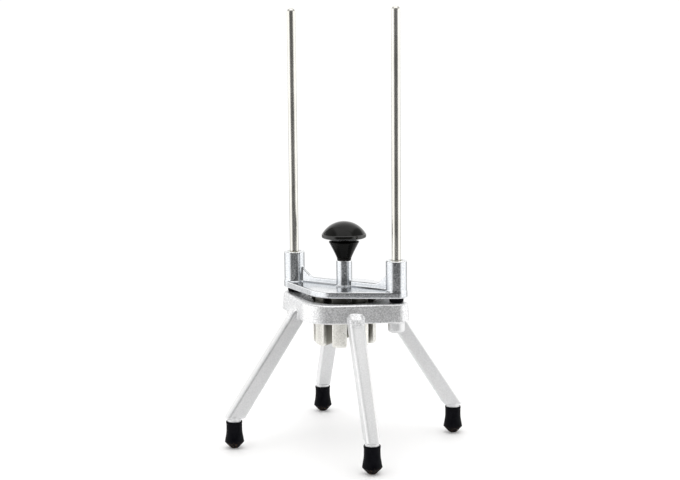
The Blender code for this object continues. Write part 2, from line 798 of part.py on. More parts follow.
def guide_bush(name, nylon, side, low):
    """A plain sleeve that runs on the rod."""
    profile = [
        (BUSH_BORE, low),
        (BUSH_RADIUS, low),
        (BUSH_RADIUS, low + BUSH_LENGTH),
        (BUSH_BORE, low + BUSH_LENGTH),
    ]
    return place(turned(name, profile, ROUND_STEPS, nylon), side * ROD_X)


# ------------------------------------------------------------ finger block


def finger_section(grow=0.0):
    """Plan of a finger along +X: flat flanks beside two blades, round back."""
    half_pitch = math.pi / FINGER_COUNT
    flank = FINGER_SPACING / 2 - grow
    back = FINGER_RADIUS + grow
    nose = FINGER_NOSE_RADIUS - grow
    nose_angle = half_pitch - math.asin(flank / nose)
    back_angle = half_pitch - math.asin(flank / back)
    turn = math.degrees(back_angle)
    return [
        (nose * math.cos(nose_angle), -nose * math.sin(nose_angle)),
        *arc((0, 0), back, -turn, turn, ARC_STEPS // 2),
        (nose * math.cos(nose_angle), nose * math.sin(nose_angle)),
    ]


def finger():
    """One finger, with the edges of its lower end bevelled."""
    tip = PLATE_BOTTOM - FINGER_LENGTH
    bevel = FINGER_TIP_BEVEL
    levels = [(-bevel / 2, tip), (0.0, tip + bevel), (0.0, PLATE_BOTTOM + DISC_THICKNESS / 2)]
    rings = [[(x, y, height) for x, y in finger_section(grow)] for grow, height in levels]
    return lofted("finger", rings)


def finger_block(aluminium):
    """A disc with eight fingers hanging from it, in one casting."""
    disc = drum("finger_block", DISC_RADIUS, PLATE_BOTTOM, PLATE_BOTTOM + DISC_THICKNESS,
                FINE_STEPS)
    disc.data.materials.append(aluminium)
    for k in range(FINGER_COUNT):
        join(disc, place(finger(), turn=math.pi * (2 * k + 1) / FINGER_COUNT))
    for angle in finger_screw_bearings():
        hole = countersink("finger_screw_cutter", FINGER_SCREW_RADIUS,
                           FINGER_SCREW_LENGTH + OVERSHOOT, THREAD_GAP)
        hole.rotation_euler = (math.pi, 0, 0)
        x, y = around(finger_screw_circle(), angle)
        hole.location = (x, y, PLATE_BOTTOM)
        cut(disc, hole)
    return disc


def finger_screw(name, steel, angle):
    """A countersunk screw, head down, that holds the finger block up."""
    screw = countersink(name, FINGER_SCREW_RADIUS, FINGER_SCREW_LENGTH, material=steel)
    x, y = around(finger_screw_circle(), angle)
    screw.location = (x, y, PLATE_BOTTOM)
    screw.rotation_euler = (math.pi, 0, 0)
    return screw


# ---------------------------------------------------------- knob and stud


def knob(phenolic):
    """A mushroom knob: a trumpet neck, a throat, and a domed head."""
    floor = STUD_IN_KNOB + THREAD_GAP
    bore = STUD_RADIUS + THREAD_GAP
    band_top = KNOB_HEAD_BASE + KNOB_BAND_HEIGHT
    neck = []
    for k in range(ARC_STEPS + 1):
        share = k / ARC_STEPS
        spread = (KNOB_FLARE_RADIUS - KNOB_NECK_RADIUS) * share ** KNOB_FLARE_CURVE
        height = KNOB_COLLAR_HEIGHT + (KNOB_FLARE_HEIGHT - KNOB_COLLAR_HEIGHT) * share
        neck.append((KNOB_NECK_RADIUS + spread, height))
    dome_radius = (KNOB_HEAD_RADIUS ** 2 + KNOB_DOME_HEIGHT ** 2) / (2 * KNOB_DOME_HEIGHT)
    dome_centre = band_top + KNOB_DOME_HEIGHT - dome_radius
    dome_start = math.degrees(math.asin((band_top - dome_centre) / dome_radius))
    dome = arc((0, dome_centre), dome_radius, dome_start, 90)
    profile = [
        (0, floor),
        (bore, floor),
        (bore, 0),
        (KNOB_NECK_RADIUS, 0),
        *neck,
        (KNOB_THROAT_RADIUS, KNOB_FLARE_HEIGHT + 2 * KNOB_EDGE_ROUND),
        (KNOB_THROAT_RADIUS, KNOB_HEAD_BASE - KNOB_EDGE_ROUND),
        (KNOB_HEAD_RADIUS - KNOB_EDGE_ROUND, KNOB_HEAD_BASE),
        (KNOB_HEAD_RADIUS, KNOB_HEAD_BASE + KNOB_EDGE_ROUND),
        *dome[:-1],
        (0, band_top + KNOB_DOME_HEIGHT),
    ]
    return place(turned("knob", profile, ROUND_STEPS, phenolic), z=KNOB_BOTTOM)


def knob_stud(steel):
    """The threaded stud that joins the knob to the stem."""
    stud = drum("knob_stud", STUD_RADIUS, STEM_TOP - STUD_IN_STEM, KNOB_BOTTOM + STUD_IN_KNOB,
                SMALL_STEPS)
    stud.data.materials.append(steel)
    return stud


# ---------------------------------------------------------------- assembly


def build_base():
    """Everything that stays still."""
    aluminium = finish("cast_aluminium", (0.68, 0.69, 0.70), 0.45, 1.0)
    plastic = finish("ring_plastic", (0.02, 0.02, 0.02), 0.35, 0.0)
    blade_steel = finish("blade_steel", (0.72, 0.72, 0.70), 0.22, 1.0)
    rod_steel = finish("rod_steel", (0.70, 0.69, 0.66), 0.15, 1.0)
    screw_steel = finish("screw_steel", (0.60, 0.60, 0.59), 0.3, 1.0)
    rubber = finish("rubber", (0.025, 0.026, 0.03), 0.6, 0.0)
    base_casting(aluminium)
    blade_ring(plastic)
    for k in range(BLADE_COUNT):
        blade(f"blade_{k + 1}", k, blade_steel)
    for k, angle in enumerate(ring_screw_bearings()):
        ring_screw(f"ring_screw_{k + 1}", screw_steel, angle)
    for word, side in (("left", -1), ("right", 1)):
        guide_rod(f"guide_rod_{word}", rod_steel, side)
        rod_washer(f"rod_washer_{word}", screw_steel, side)
        rod_screw(f"rod_screw_{word}", screw_steel, side)
        rod_bumper(f"rod_bumper_{word}", rubber, side)
    for k, angle in enumerate(leg_bearings()):
        rubber_foot(f"rubber_foot_{k + 1}", rubber, angle)


def build_pusher():
    """Everything that slides on the rods, under one empty on the slide's axis."""
    aluminium = finish("head_aluminium", (0.70, 0.71, 0.72), 0.42, 1.0)
    finger_aluminium = finish("finger_aluminium", (0.74, 0.72, 0.66), 0.5, 1.0)
    nylon = finish("bush_nylon", (0.85, 0.83, 0.76), 0.4, 0.0)
    phenolic = finish("knob_phenolic", (0.012, 0.012, 0.012), 0.12, 0.0)
    steel = finish("stud_steel", (0.60, 0.60, 0.59), 0.3, 1.0)
    pieces = [pusher_head(aluminium), finger_block(finger_aluminium), knob(phenolic),
              knob_stud(steel)]
    lower = PLATE_BOTTOM + BUSH_RECESS
    upper = GUIDE_BOSS_TOP - BUSH_RECESS - BUSH_LENGTH
    for word, side in (("left", -1), ("right", 1)):
        pieces.append(guide_bush(f"lower_bush_{word}", nylon, side, lower))
        pieces.append(guide_bush(f"upper_bush_{word}", nylon, side, upper))
    for k, angle in enumerate(finger_screw_bearings()):
        pieces.append(finger_screw(f"finger_screw_{k + 1}", steel, angle))
    slide = bpy.data.objects.new("pusher_slide", None)
    slide.location = (0, 0, PLATE_BOTTOM)
    slide["travel"] = PUSHER_TRAVEL
    bpy.context.scene.collection.objects.link(slide)
    bpy.context.view_layer.update()
    for piece in pieces:
        piece.parent = slide
        piece.matrix_parent_inverse = slide.matrix_world.inverted()


clear_scene()
build_base()
build_pusher()
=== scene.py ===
"""Looks of the egg slicer: a cast push-down wedger on four splayed legs.

The sections follow the slicer as it is put together. Shapes are worked out in
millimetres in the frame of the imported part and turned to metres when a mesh
is made.
"""

import math

import bmesh
import bpy
import numpy as np
from mathutils import Matrix, Vector


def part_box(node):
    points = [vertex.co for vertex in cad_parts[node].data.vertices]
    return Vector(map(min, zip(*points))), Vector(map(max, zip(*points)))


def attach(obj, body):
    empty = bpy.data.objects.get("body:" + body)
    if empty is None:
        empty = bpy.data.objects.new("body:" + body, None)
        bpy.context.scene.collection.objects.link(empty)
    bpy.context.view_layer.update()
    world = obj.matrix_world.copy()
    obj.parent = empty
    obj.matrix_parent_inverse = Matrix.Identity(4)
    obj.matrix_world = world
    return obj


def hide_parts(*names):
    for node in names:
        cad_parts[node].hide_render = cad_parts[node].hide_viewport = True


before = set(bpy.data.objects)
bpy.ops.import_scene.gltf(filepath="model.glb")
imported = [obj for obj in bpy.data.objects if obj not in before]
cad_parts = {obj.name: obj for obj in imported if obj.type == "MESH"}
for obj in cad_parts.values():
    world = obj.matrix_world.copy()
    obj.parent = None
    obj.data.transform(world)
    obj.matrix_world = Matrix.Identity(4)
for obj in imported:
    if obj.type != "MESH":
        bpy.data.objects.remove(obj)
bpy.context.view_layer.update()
MM = 0.001


def corners(node):
    """Lowest and highest corner of a CAD node, in millimetres."""
    low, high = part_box(node)
    return np.array(low) / MM, np.array(high) / MM


# ---------------------------------------------------------------- camera
# A long lens, a little above the level of the blade ring, seen from the
# right of the side that the two rods stand across.

CAMERA_AZIMUTH = math.radians(32.63)
CAMERA_ELEVATION = math.radians(8.387)
CAMERA_ROLL = math.radians(-0.506)
CAMERA_DISTANCE = 1366.8 * MM
CAMERA_LENS = 71.72
AIM_SIDE = -4.01 * MM
AIM_HEIGHT = 207.9 * MM

level = Vector((math.cos(CAMERA_AZIMUTH), math.sin(CAMERA_AZIMUTH), 0))
back = Vector((math.sin(CAMERA_AZIMUTH) * math.cos(CAMERA_ELEVATION),
               -math.cos(CAMERA_AZIMUTH) * math.cos(CAMERA_ELEVATION),
               math.sin(CAMERA_ELEVATION)))
upward = back.cross(level)
camera_x = math.cos(CAMERA_ROLL) * level + math.sin(CAMERA_ROLL) * upward
camera_y = math.cos(CAMERA_ROLL) * upward - math.sin(CAMERA_ROLL) * level
camera_place = AIM_SIDE * level + Vector((0, 0, AIM_HEIGHT)) + CAMERA_DISTANCE * back
camera = bpy.data.objects.new("camera", bpy.data.cameras.new("camera"))
camera.data.lens = CAMERA_LENS
camera.data.sensor_width = 36
camera.matrix_world = Matrix((camera_x, camera_y, back)).transposed().to_4x4()
camera.location = camera_place
bpy.context.scene.collection.objects.link(camera)
bpy.context.scene.camera = camera


# ------------------------------------------------------- light and floor
# White cloth all round and overhead, with a dark gap in front where the
# viewer stands, and a plain pale round table under the slicer.

SIDE_LIGHT = 1.7
GAP_LIGHT = 0.15
FAR_LIGHT = 0.8
TOP_LIGHT = 1.95
FLAG_SHADE = 0.35
REAR_SHADE = 0.71
GAP_START = math.cos(math.radians(60))
GAP_FULL = math.cos(math.radians(36))
FAR_START = math.cos(math.radians(78))
FAR_FULL = math.cos(math.radians(28))
TABLE_RADIUS = 700 * MM
TABLE_DROP = 0.05 * MM


def added(tree, kind, **inputs):
    """A new node, with some of its inputs set by name."""
    node = tree.nodes.new(kind)
    for name, value in inputs.items():
        node.inputs[name].default_value = value
    return node


def spread(tree, value, start, end, low=0.0, high=1.0):
    """A value between start and end, turned smoothly into low to high."""
    node = added(tree, "ShaderNodeMapRange")
    node.interpolation_type = "SMOOTHSTEP"
    for name, number in (("From Min", start), ("From Max", end), ("To Min", low), ("To Max", high)):
        node.inputs[name].default_value = number
    tree.links.new(value, node.inputs["Value"])
    return node.outputs["Result"]


def toward(tree, place, *direction):
    """How far a place lies along a direction of any length."""
    node = added(tree, "ShaderNodeVectorMath")
    node.operation = "DOT_PRODUCT"
    node.inputs[1].default_value = Vector(direction).normalized()
    tree.links.new(place, node.inputs[0])
    return node.outputs["Value"]


def multiplied(tree, a, b):
    """The product of two values."""
    node = added(tree, "ShaderNodeMath")
    node.operation = "MULTIPLY"
    tree.links.new(a, node.inputs[0])
    tree.links.new(b, node.inputs[1])
    return node.outputs["Value"]


def studio_world():
    """Brightness by direction: dark in front, white at the sides, whiter overhead, less
    white at the back, greyer far behind below the level of the eye, and shaded by a flag
    high up on each side."""
    world = bpy.data.worlds.new("studio")
    world.use_nodes = True
    tree = world.node_tree
    tree.nodes.clear()
    way = added(tree, "ShaderNodeTexCoord").outputs["Generated"]
    ahead, aside = math.sin(CAMERA_AZIMUTH), -math.cos(CAMERA_AZIMUTH)
    near = spread(tree, toward(tree, way, ahead, aside, 0.1), GAP_START, GAP_FULL, SIDE_LIGHT, GAP_LIGHT)
    rise = toward(tree, way, 0, 0, 1)
    behind = spread(tree, toward(tree, way, -ahead, -aside, 0), FAR_START, FAR_FULL)
    shade = multiplied(tree, behind, spread(tree, rise, 0.03, -0.1))
    far = spread(tree, shade, 0.0, 1.0, 1.0, FAR_LIGHT / SIDE_LIGHT)
    top = spread(tree, rise, 0.0, 0.4, 1.0, TOP_LIGHT / SIDE_LIGHT)
    sideways = toward(tree, way, -aside, ahead, 0)
    beside = spread(tree, multiplied(tree, sideways, sideways), 0.1, 0.4)
    flag = multiplied(tree, beside, spread(tree, rise, 0.3, 0.5))
    flagged = spread(tree, flag, 0.0, 1.0, 1.0, FLAG_SHADE)
    rear = spread(tree, toward(tree, way, -ahead, -aside, 0.4), FAR_START, FAR_FULL, 1.0, REAR_SHADE)
    strength = near
    for factor in (far, top, flagged, rear):
        strength = multiplied(tree, strength, factor)
    cloth = added(tree, "ShaderNodeBackground", Color=(1.0, 0.995, 0.985, 1.0))
    tree.links.new(strength, cloth.inputs["Strength"])
    backdrop = added(tree, "ShaderNodeBackground", Color=(1.0, 1.0, 1.0, 1.0), Strength=1.05)
    seen = added(tree, "ShaderNodeLightPath")
    choice = added(tree, "ShaderNodeMixShader")
    tree.links.new(seen.outputs["Is Camera Ray"], choice.inputs["Fac"])
    tree.links.new(cloth.outputs["Background"], choice.inputs[1])
    tree.links.new(backdrop.outputs["Background"], choice.inputs[2])
    output = added(tree, "ShaderNodeOutputWorld")
    tree.links.new(choice.outputs["Shader"], output.inputs["Surface"])
    return world


def turned(profile, steps, centre=(0.0, 0.0)):
    """Vertices and faces of a profile of (radius, height) points carried round an
    upright axis: point i at turn k lies at radius r_i, bearing 2 pi k / steps and
    height z_i. A profile that starts and ends on the axis is closed there with fans,
    and any other is joined end to end into a ring."""
    profile = np.asarray(profile, float)
    solid = profile[0, 0] == 0
    rows = profile[1:-1] if solid else profile
    turn = np.arange(steps) * 2 * math.pi / steps
    x = centre[0] + rows[:, :1] * np.cos(turn)
    y = centre[1] + rows[:, :1] * np.sin(turn)
    z = np.repeat(rows[:, 1:], steps, 1)
    vertices = np.stack([x, y, z], -1).reshape(-1, 3)
    row, column = np.meshgrid(np.arange(len(rows)), np.arange(steps), indexing="ij")
    if solid:
        row, column = row[:-1], column[:-1]
    following, beside = (row + 1) % len(rows), (column + 1) % steps
    quads = np.stack([row * steps + column, row * steps + beside,
                      following * steps + beside, following * steps + column], -1)
    faces = quads.reshape(-1, 4).tolist()
    if solid:
        ends = [(*centre, profile[0, 1]), (*centre, profile[-1, 1])]
        start, end = len(vertices), len(vertices) + 1
        vertices = np.concatenate([vertices, ends])
        around = np.arange(steps)
        after = (around + 1) % steps
        last = (len(rows) - 1) * steps
        faces += np.stack([after, around, np.full(steps, start)], -1).tolist()
        faces += np.stack([last + around, last + after, np.full(steps, end)], -1).tolist()
    return vertices, faces


def piece(name, surface, *materials, sharp=40):
    """A mesh object from vertices in millimetres and faces."""
    vertices, faces = surface
    mesh = bpy.data.meshes.new(name)
    mesh.from_pydata((np.asarray(vertices) * MM).tolist(), [], faces)
    for material in materials:
        mesh.materials.append(material)
    mesh.shade_smooth()
    mesh.set_sharp_from_angle(angle=math.radians(sharp))
    made = bpy.data.objects.new(name, mesh)
    bpy.context.scene.collection.objects.link(made)
    return made


def table_finish():
    """Smooth white board, with a faint unevenness in its white."""
    material = bpy.data.materials.new("table_white")
    material.use_nodes = True
    tree = material.node_tree
    shader = tree.nodes["Principled BSDF"]
    cloud = added(tree, "ShaderNodeTexNoise", Scale=6.0, Detail=2.0)
    tree.links.new(added(tree, "ShaderNodeTexCoord").outputs["Object"], cloud.inputs["Vector"])
    tone = added(tree, "ShaderNodeValToRGB")
    tone.color_ramp.elements[0].color = (0.86, 0.86, 0.87, 1)
    tone.color_ramp.elements[1].color = (0.90, 0.90, 0.90, 1)
    tree.links.new(cloud.outputs["Fac"], tone.inputs["Fac"])
    tree.links.new(tone.outputs["Color"], shader.inputs["Base Color"])
    shader.inputs["Roughness"].default_value = 0.6
    shader.inputs["Specular IOR Level"].default_value = 0.2
    shader.inputs["Emission Color"].default_value = (1, 1, 1, 1)
    shader.inputs["Emission Strength"].default_value = 0.12
    return material


bpy.context.scene.world = studio_world()
bpy.context.scene.view_settings.view_transform = "Standard"
board = [(0, -6), (TABLE_RADIUS / MM, -6), (TABLE_RADIUS / MM, -TABLE_DROP / MM), (0, -TABLE_DROP / MM)]
table = piece("table", turned(board, 96), table_finish())


# ---------------------------------------------------------- base casting
# Frame, rod bosses and four legs with their foot pegs are one sand casting in
# aluminium, shot-blasted to a mottled satin skin. The seat for the blade ring
# and the sockets for the rods are then machined into it.

CAST_STEP = 1.0
FRAME_DRAFT = 1.8
FRAME_HEIGHT = 18.5
DECK_THICKNESS = 7.0
SKIRT_SETBACK = 2.7
EAR_RADIUS = 11.3
BULGE_Y, BULGE_RADIUS = 21.5, 32.0
BOSS_RADIUS, BOSS_BOTTOM = 8.5, 119.8
LEG_FOOT_Z, LEG_KNEE_Z, LEG_PAD_TOP = 31.0, 129.3, 141.5
LEG_OUT_FOOT, LEG_OUT_KNEE, LEG_OUT_PAD = 125.0, 60.9, 56.8
LEG_IN_FOOT, LEG_IN_KNEE = 105.1, 43.1
LEG_SIDE_FOOT, LEG_SIDE_KNEE = 6.75, 7.5
LEG_CHAMFER = 2.5
LEG_SHOULDER_OUT, LEG_PAD_BACK = 41.5, 47.9
PEG_RADIUS, PEG_BOTTOM = 7.0, 8.0
DECK = corners("base_casting")[1][2]
FRAME_BOTTOM = DECK - FRAME_HEIGHT
ROD_X = corners("guide_rod_right")[0][0] / 2 + corners("guide_rod_right")[1][0] / 2
FOOT_CIRCLE = np.hypot(*(sum(corners("rubber_foot_1")) / 2)[:2])


def common(a, b, radius):
    """Distance to the part that two solids share, from their distances, with the edge
    between them rounded: a quarter circle whose centre is that far inside both."""
    past = np.hypot(np.maximum(a + radius, 0), np.maximum(b + radius, 0))
    return np.minimum(np.maximum(a, b), -radius) + past


def welded(a, b, radius):
    """Distance to two solids together, with a fillet of that radius in the corner."""
    return -common(-a, -b, radius)


def rhombus(x, y, ear, bulge_y, bulge):
    """Plan distance from a rounded rhombus, in the quarter where x and y are positive:
    from the ear's circle, from the bulge's circle, or from the flank that touches both,
    whichever of them faces the point."""
    facing = math.acos((bulge - ear) / math.hypot(ROD_X, bulge_y)) - math.atan2(bulge_y, ROD_X)
    flank = (x - ROD_X) * math.cos(facing) + y * math.sin(facing) - ear
    by_ear = np.arctan2(y, x - ROD_X) < facing
    by_bulge = np.arctan2(y - bulge_y, x) > facing
    nearest = np.where(by_ear, np.hypot(x - ROD_X, y) - ear, flank)
    return np.where(by_bulge, np.hypot(x, y - bulge_y) - bulge, nearest)


def slanted(out, z, low, high, sign):
    """Distance from the plane through two (out, height) points of a leg."""
    rise, run = high[1] - low[1], high[0] - low[0]
    return sign * ((out - low[0]) * rise - (z - low[1]) * run) / math.hypot(rise, run)


def base_field(x, y, z):
    """Distance from the base's skin: a drafted frame, less its hollow, welded with
    fillets to the rod bosses, the slanted legs, their pads and the foot pegs."""
    x, y = np.abs(x), np.abs(y)
    plan = rhombus(x, y, EAR_RADIUS, BULGE_Y, BULGE_RADIUS)
    wall = plan - FRAME_DRAFT * (DECK - z) / FRAME_HEIGHT
    frame_solid = common(common(wall, z - DECK, 2.2), FRAME_BOTTOM - z, 0.8)
    hollow = common(plan + SKIRT_SETBACK, z - DECK + DECK_THICKNESS, 2.5)
    metal = common(frame_solid, -hollow, 0.8)
    boss = common(np.hypot(x - ROD_X, y) - BOSS_RADIUS, BOSS_BOTTOM - z, 3.0)
    metal = welded(metal, np.maximum(boss, z - DECK + 4), 2.0)
    out, across = (x + y) / math.sqrt(2), np.abs(x - y) / math.sqrt(2)
    height = np.clip((z - LEG_FOOT_Z) / (LEG_KNEE_Z - LEG_FOOT_Z), 0, 1)
    side = across - LEG_SIDE_FOOT - (LEG_SIDE_KNEE - LEG_SIDE_FOOT) * height
    front = slanted(out, z, (LEG_OUT_FOOT, LEG_FOOT_Z), (LEG_OUT_KNEE, LEG_KNEE_Z), 1)
    inner = slanted(out, z, (LEG_IN_FOOT, LEG_FOOT_Z), (LEG_IN_KNEE, LEG_KNEE_Z), -1)
    shoulder = slanted(out, z, (LEG_SHOULDER_OUT, FRAME_BOTTOM), (LEG_PAD_BACK, FRAME_BOTTOM + 4), -1)
    leg = common(common(front, side, 0.5), (front + side + LEG_CHAMFER) / math.sqrt(2), 0.6)
    leg = common(np.maximum(leg, shoulder), common(inner, side, 1.3), 0.4)
    leg = np.maximum(common(leg, LEG_FOOT_Z - z, 1.2), z - LEG_PAD_TOP + 5)
    face = slanted(out, z, (LEG_OUT_KNEE, LEG_KNEE_Z), (LEG_OUT_PAD, LEG_PAD_TOP - 5), 1)
    pad = common(common(face, side, 0.5), (face + side + LEG_CHAMFER) / math.sqrt(2), 0.6)
    pad = common(pad, z - LEG_PAD_TOP, 5.0)
    pad = np.maximum(np.maximum(pad, LEG_PAD_BACK - out), LEG_KNEE_Z - 4 - z)
    metal = welded(metal, np.minimum(leg, pad), 1.4)
    peg = common(np.hypot(out - FOOT_CIRCLE, across) - PEG_RADIUS, PEG_BOTTOM - z, 0.8)
    return welded(metal, np.maximum(peg, z - LEG_FOOT_Z - 2), 0.6)


def skin(samples, origin, step):
    """The surface where a sampled field is 0: one vertex in each cell that it crosses,
    at the mean of the crossings on the cell's edges, and one quad round each crossed
    grid line, turned to face the positive side."""
    inside = samples < 0
    cells = [n - 1 for n in samples.shape]
    cube = [(i, j, k) for i in (0, 1) for j in (0, 1) for k in (0, 1)]

    def at(values, corner):
        """The values at one corner of every cell."""
        return values[tuple(slice(c, c + n) for c, n in zip(corner, cells))]

    filled = sum(at(inside, corner).astype(np.int8) for corner in cube)
    mixed = (filled > 0) & (filled < 8)
    where = np.argwhere(mixed)
    number = np.full(cells, -1, np.int64)
    number[mixed] = np.arange(len(where))
    value = {corner: at(samples, corner)[mixed].astype(float) for corner in cube}
    total, hits = np.zeros((len(where), 3)), np.zeros(len(where))
    for axis, corner in [(a, c) for a in range(3) for c in cube if c[a] == 0]:
        ahead = tuple(c + (a == axis) for a, c in enumerate(corner))
        crossed = (value[corner] < 0) != (value[ahead] < 0)
        gap = np.where(crossed, value[corner] - value[ahead], 1)
        total += crossed[:, None] * (np.array(corner) + np.outer(value[corner] / gap, np.eye(3)[axis]))
        hits += crossed
    vertices = origin + step * (where + total / hits[:, None])
    faces = []
    for axis in range(3):
        here = np.moveaxis(inside, axis, 0)
        grid = np.argwhere(here[:-1] != here[1:])
        leaving = here[tuple(grid.T)]
        grid = np.insert(grid[:, 1:], axis, grid[:, 0], 1)
        one, two = np.eye(3, dtype=int)[(axis + 1) % 3], np.eye(3, dtype=int)[(axis + 2) % 3]
        ring = [number[tuple((grid - shift).T)] for shift in (0 * one, one, one + two, two)]
        quads = np.stack(ring, 1)
        faces.append(np.where(leaving[:, None], quads, quads[:, ::-1]))
    return vertices, np.concatenate(faces)


def settled(points, field, step):
    """Points moved onto a field's surface along its slope, taken from differences."""
    for _ in range(3):
        slope = np.stack([field(*(points + d).T) - field(*(points - d).T)
                          for d in np.eye(3) * 0.02], 1) / 0.04
        move = field(*points.T)[:, None] * slope / np.maximum((slope ** 2).sum(1), 0.3)[:, None]
        points = points - np.clip(move, -step / 2, step / 2)
    return points


def cast(field, low, high, step):
    """A casting's surface: its field is sampled in the quarter where x and y are
    positive, mirrored to the other three, and skinned."""
    xs = (np.arange(math.ceil(high[0] / step) + 2) + 0.5) * step
    ys = (np.arange(math.ceil(high[1] / step) + 2) + 0.5) * step
    zs = np.arange(low[2] - 2 * step, high[2] + 2 * step, step)
    quarter = field(xs[:, None, None], ys[None, :, None], zs[None, None, :])
    half = np.concatenate([quarter[::-1], quarter], 0)
    whole = np.concatenate([half[:, ::-1], half], 1)
    vertices, faces = skin(whole, np.array([-xs[-1], -ys[-1], zs[0]]), step)
    return settled(vertices, field, step), faces.tolist()


SLIVER = 0.002 * MM


def machined(body, cutters):
    """Take cutters away from a body. The cut faces get the body's second material, and
    corners that a cut leaves closer together than a sliver's width are welded."""
    for cutter in cutters:
        cutter.data.polygons.foreach_set("material_index", [1] * len(cutter.data.polygons))
        modifier = body.modifiers.new("cut", "BOOLEAN")
        modifier.operation = "DIFFERENCE"
        modifier.solver = "MANIFOLD"
        modifier.object = cutter
    bpy.context.view_layer.update()
    result = body.evaluated_get(bpy.context.evaluated_depsgraph_get())
    cut_mesh = bpy.data.meshes.new_from_object(result)
    welded = bmesh.new()
    welded.from_mesh(cut_mesh)
    bmesh.ops.remove_doubles(welded, verts=welded.verts, dist=SLIVER)
    bmesh.ops.dissolve_degenerate(welded, edges=welded.edges, dist=SLIVER)
    welded.to_mesh(cut_mesh)
    welded.free()
    body.modifiers.clear()
    body.data = cut_mesh
    body.data.name = body.name
    body.data.set_sharp_from_angle(angle=math.radians(40))
    for cutter in cutters:
        bpy.data.objects.remove(cutter)
    return body


def fitted(made, body, slot, *nodes):
    """A finished piece rides on its body and stands for its CAD nodes."""
    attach(made, body)
    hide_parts(*nodes)


def noise(tree, place, size, detail=2.0, stretch=(1, 1, 1)):
    """Noise whose lumps are about size metres across, longer where stretch is above 1."""
    scaled = added(tree, "ShaderNodeMapping", Scale=[1 / (size * s) for s in stretch])
    tree.links.new(place, scaled.inputs["Vector"])
    node = added(tree, "ShaderNodeTexNoise", Scale=1.0, Detail=detail)
    tree.links.new(scaled.outputs["Vector"], node.inputs["Vector"])
    return node.outputs["Fac"]


def height_of(tree, place):
    """The upright coordinate, in metres."""
    node = added(tree, "ShaderNodeSeparateXYZ")
    tree.links.new(place, node.inputs["Vector"])
    return node.outputs["Z"]


def blended(tree, a, b, share):
    """Two values mixed, with share of the second."""
    node = added(tree, "ShaderNodeMix")
    node.inputs[0].default_value = share
    tree.links.new(a, node.inputs[2])
    tree.links.new(b, node.inputs[3])
    return node.outputs[0]


def tinted(tree, value, *stops):
    """A value turned into colour, from stops of (value, red, green, blue)."""
    node = added(tree, "ShaderNodeValToRGB")
    ramp = node.color_ramp
    while len(ramp.elements) < len(stops):
        ramp.elements.new(0.5)
    for element, stop in zip(ramp.elements, stops):
        element.position = stop[0]
        element.color = (*stop[1:], 1)
    tree.links.new(value, node.inputs["Fac"])
    return node.outputs["Color"]


def painted(tree, colour, over, share):
    """A colour with another laid over it where share is high."""
    node = added(tree, "ShaderNodeMix")
    node.data_type = "RGBA"
    tree.links.new(share, node.inputs[0])
    tree.links.new(colour, node.inputs[6])
    node.inputs[7].default_value = (*over, 1)
    return node.outputs[2]


def started(name, **inputs):
    """A new material's node tree, its shader, and the Object coordinates."""
    material = bpy.data.materials.new(name)
    material.use_nodes = True
    tree = material.node_tree
    shader = tree.nodes["Principled BSDF"]
    for key, value in inputs.items():
        shader.inputs[key.replace("_", " ")].default_value = value
    return material, tree, shader, added(tree, "ShaderNodeTexCoord").outputs["Object"]


def bumped(tree, shader, *layers):
    """Bumps laid one on another, from layers of (height value, depth in metres)."""
    below = None
    for height, depth in layers:
        node = added(tree, "ShaderNodeBump", Strength=1.0, Distance=depth)
        tree.links.new(height, node.inputs["Height"])
        if below is not None:
            tree.links.new(below, node.inputs["Normal"])
        below = node.outputs["Normal"]
    tree.links.new(below, shader.inputs["Normal"])


def cast_finish(name, dark, pale, rough, grain_depth, speckle=0.1):
    """Shot-blasted casting skin: a fine peened grain over soft mottling, clouded in
    tone, with rubbed, brighter edges and a few small pits. It is the more speckled,
    the narrower the range of noise that its tones are spread over."""
    material, tree, shader, place = started(name, Metallic=1.0)
    grain = noise(tree, place, 0.9 * MM, 3.0)
    mottle = noise(tree, place, 1.3 * MM, 2.0)
    cloud = noise(tree, place, 24 * MM, 3.0)
    tone = blended(tree, mottle, cloud, 0.25)
    colour = tinted(tree, tone, (0.5 - speckle, *dark), (0.5 + speckle, *pale))
    pits = spread(tree, noise(tree, place, 1.7 * MM, 1.0), 0.27, 0.21)
    pitted = painted(tree, colour, (0.16, 0.155, 0.15), spread(tree, pits, 0.0, 1.0, 0.0, 0.6))
    edge = spread(tree, added(tree, "ShaderNodeNewGeometry").outputs["Pointiness"], 0.51, 0.60)
    tree.links.new(painted(tree, pitted, (0.92, 0.92, 0.91), edge), shader.inputs["Base Color"])
    tree.links.new(spread(tree, blended(tree, grain, mottle, 0.5), 0.3, 0.7, rough - 0.06, rough + 0.08),
                   shader.inputs["Roughness"])
    bumped(tree, shader, (mottle, grain_depth), (grain, grain_depth * 0.6))
    return material


def base_finish():
    """The cast skin, rubbed smoother and more even on the legs than round the frame."""
    material = cast_finish("cast_aluminium", (0.60, 0.605, 0.615), (0.90, 0.905, 0.915), 0.47, 0.06 * MM)
    tree = material.node_tree
    shader = tree.nodes["Principled BSDF"]
    rough_cast = shader.inputs["Base Color"].links[0].from_socket
    place = added(tree, "ShaderNodeTexCoord").outputs["Object"]
    leg = spread(tree, height_of(tree, place), (FRAME_BOTTOM + 2) * MM,
                 (FRAME_BOTTOM - 3) * MM, 0.0, 0.75)
    tree.links.new(painted(tree, rough_cast, (0.75, 0.755, 0.76), leg), shader.inputs["Base Color"])
    return material


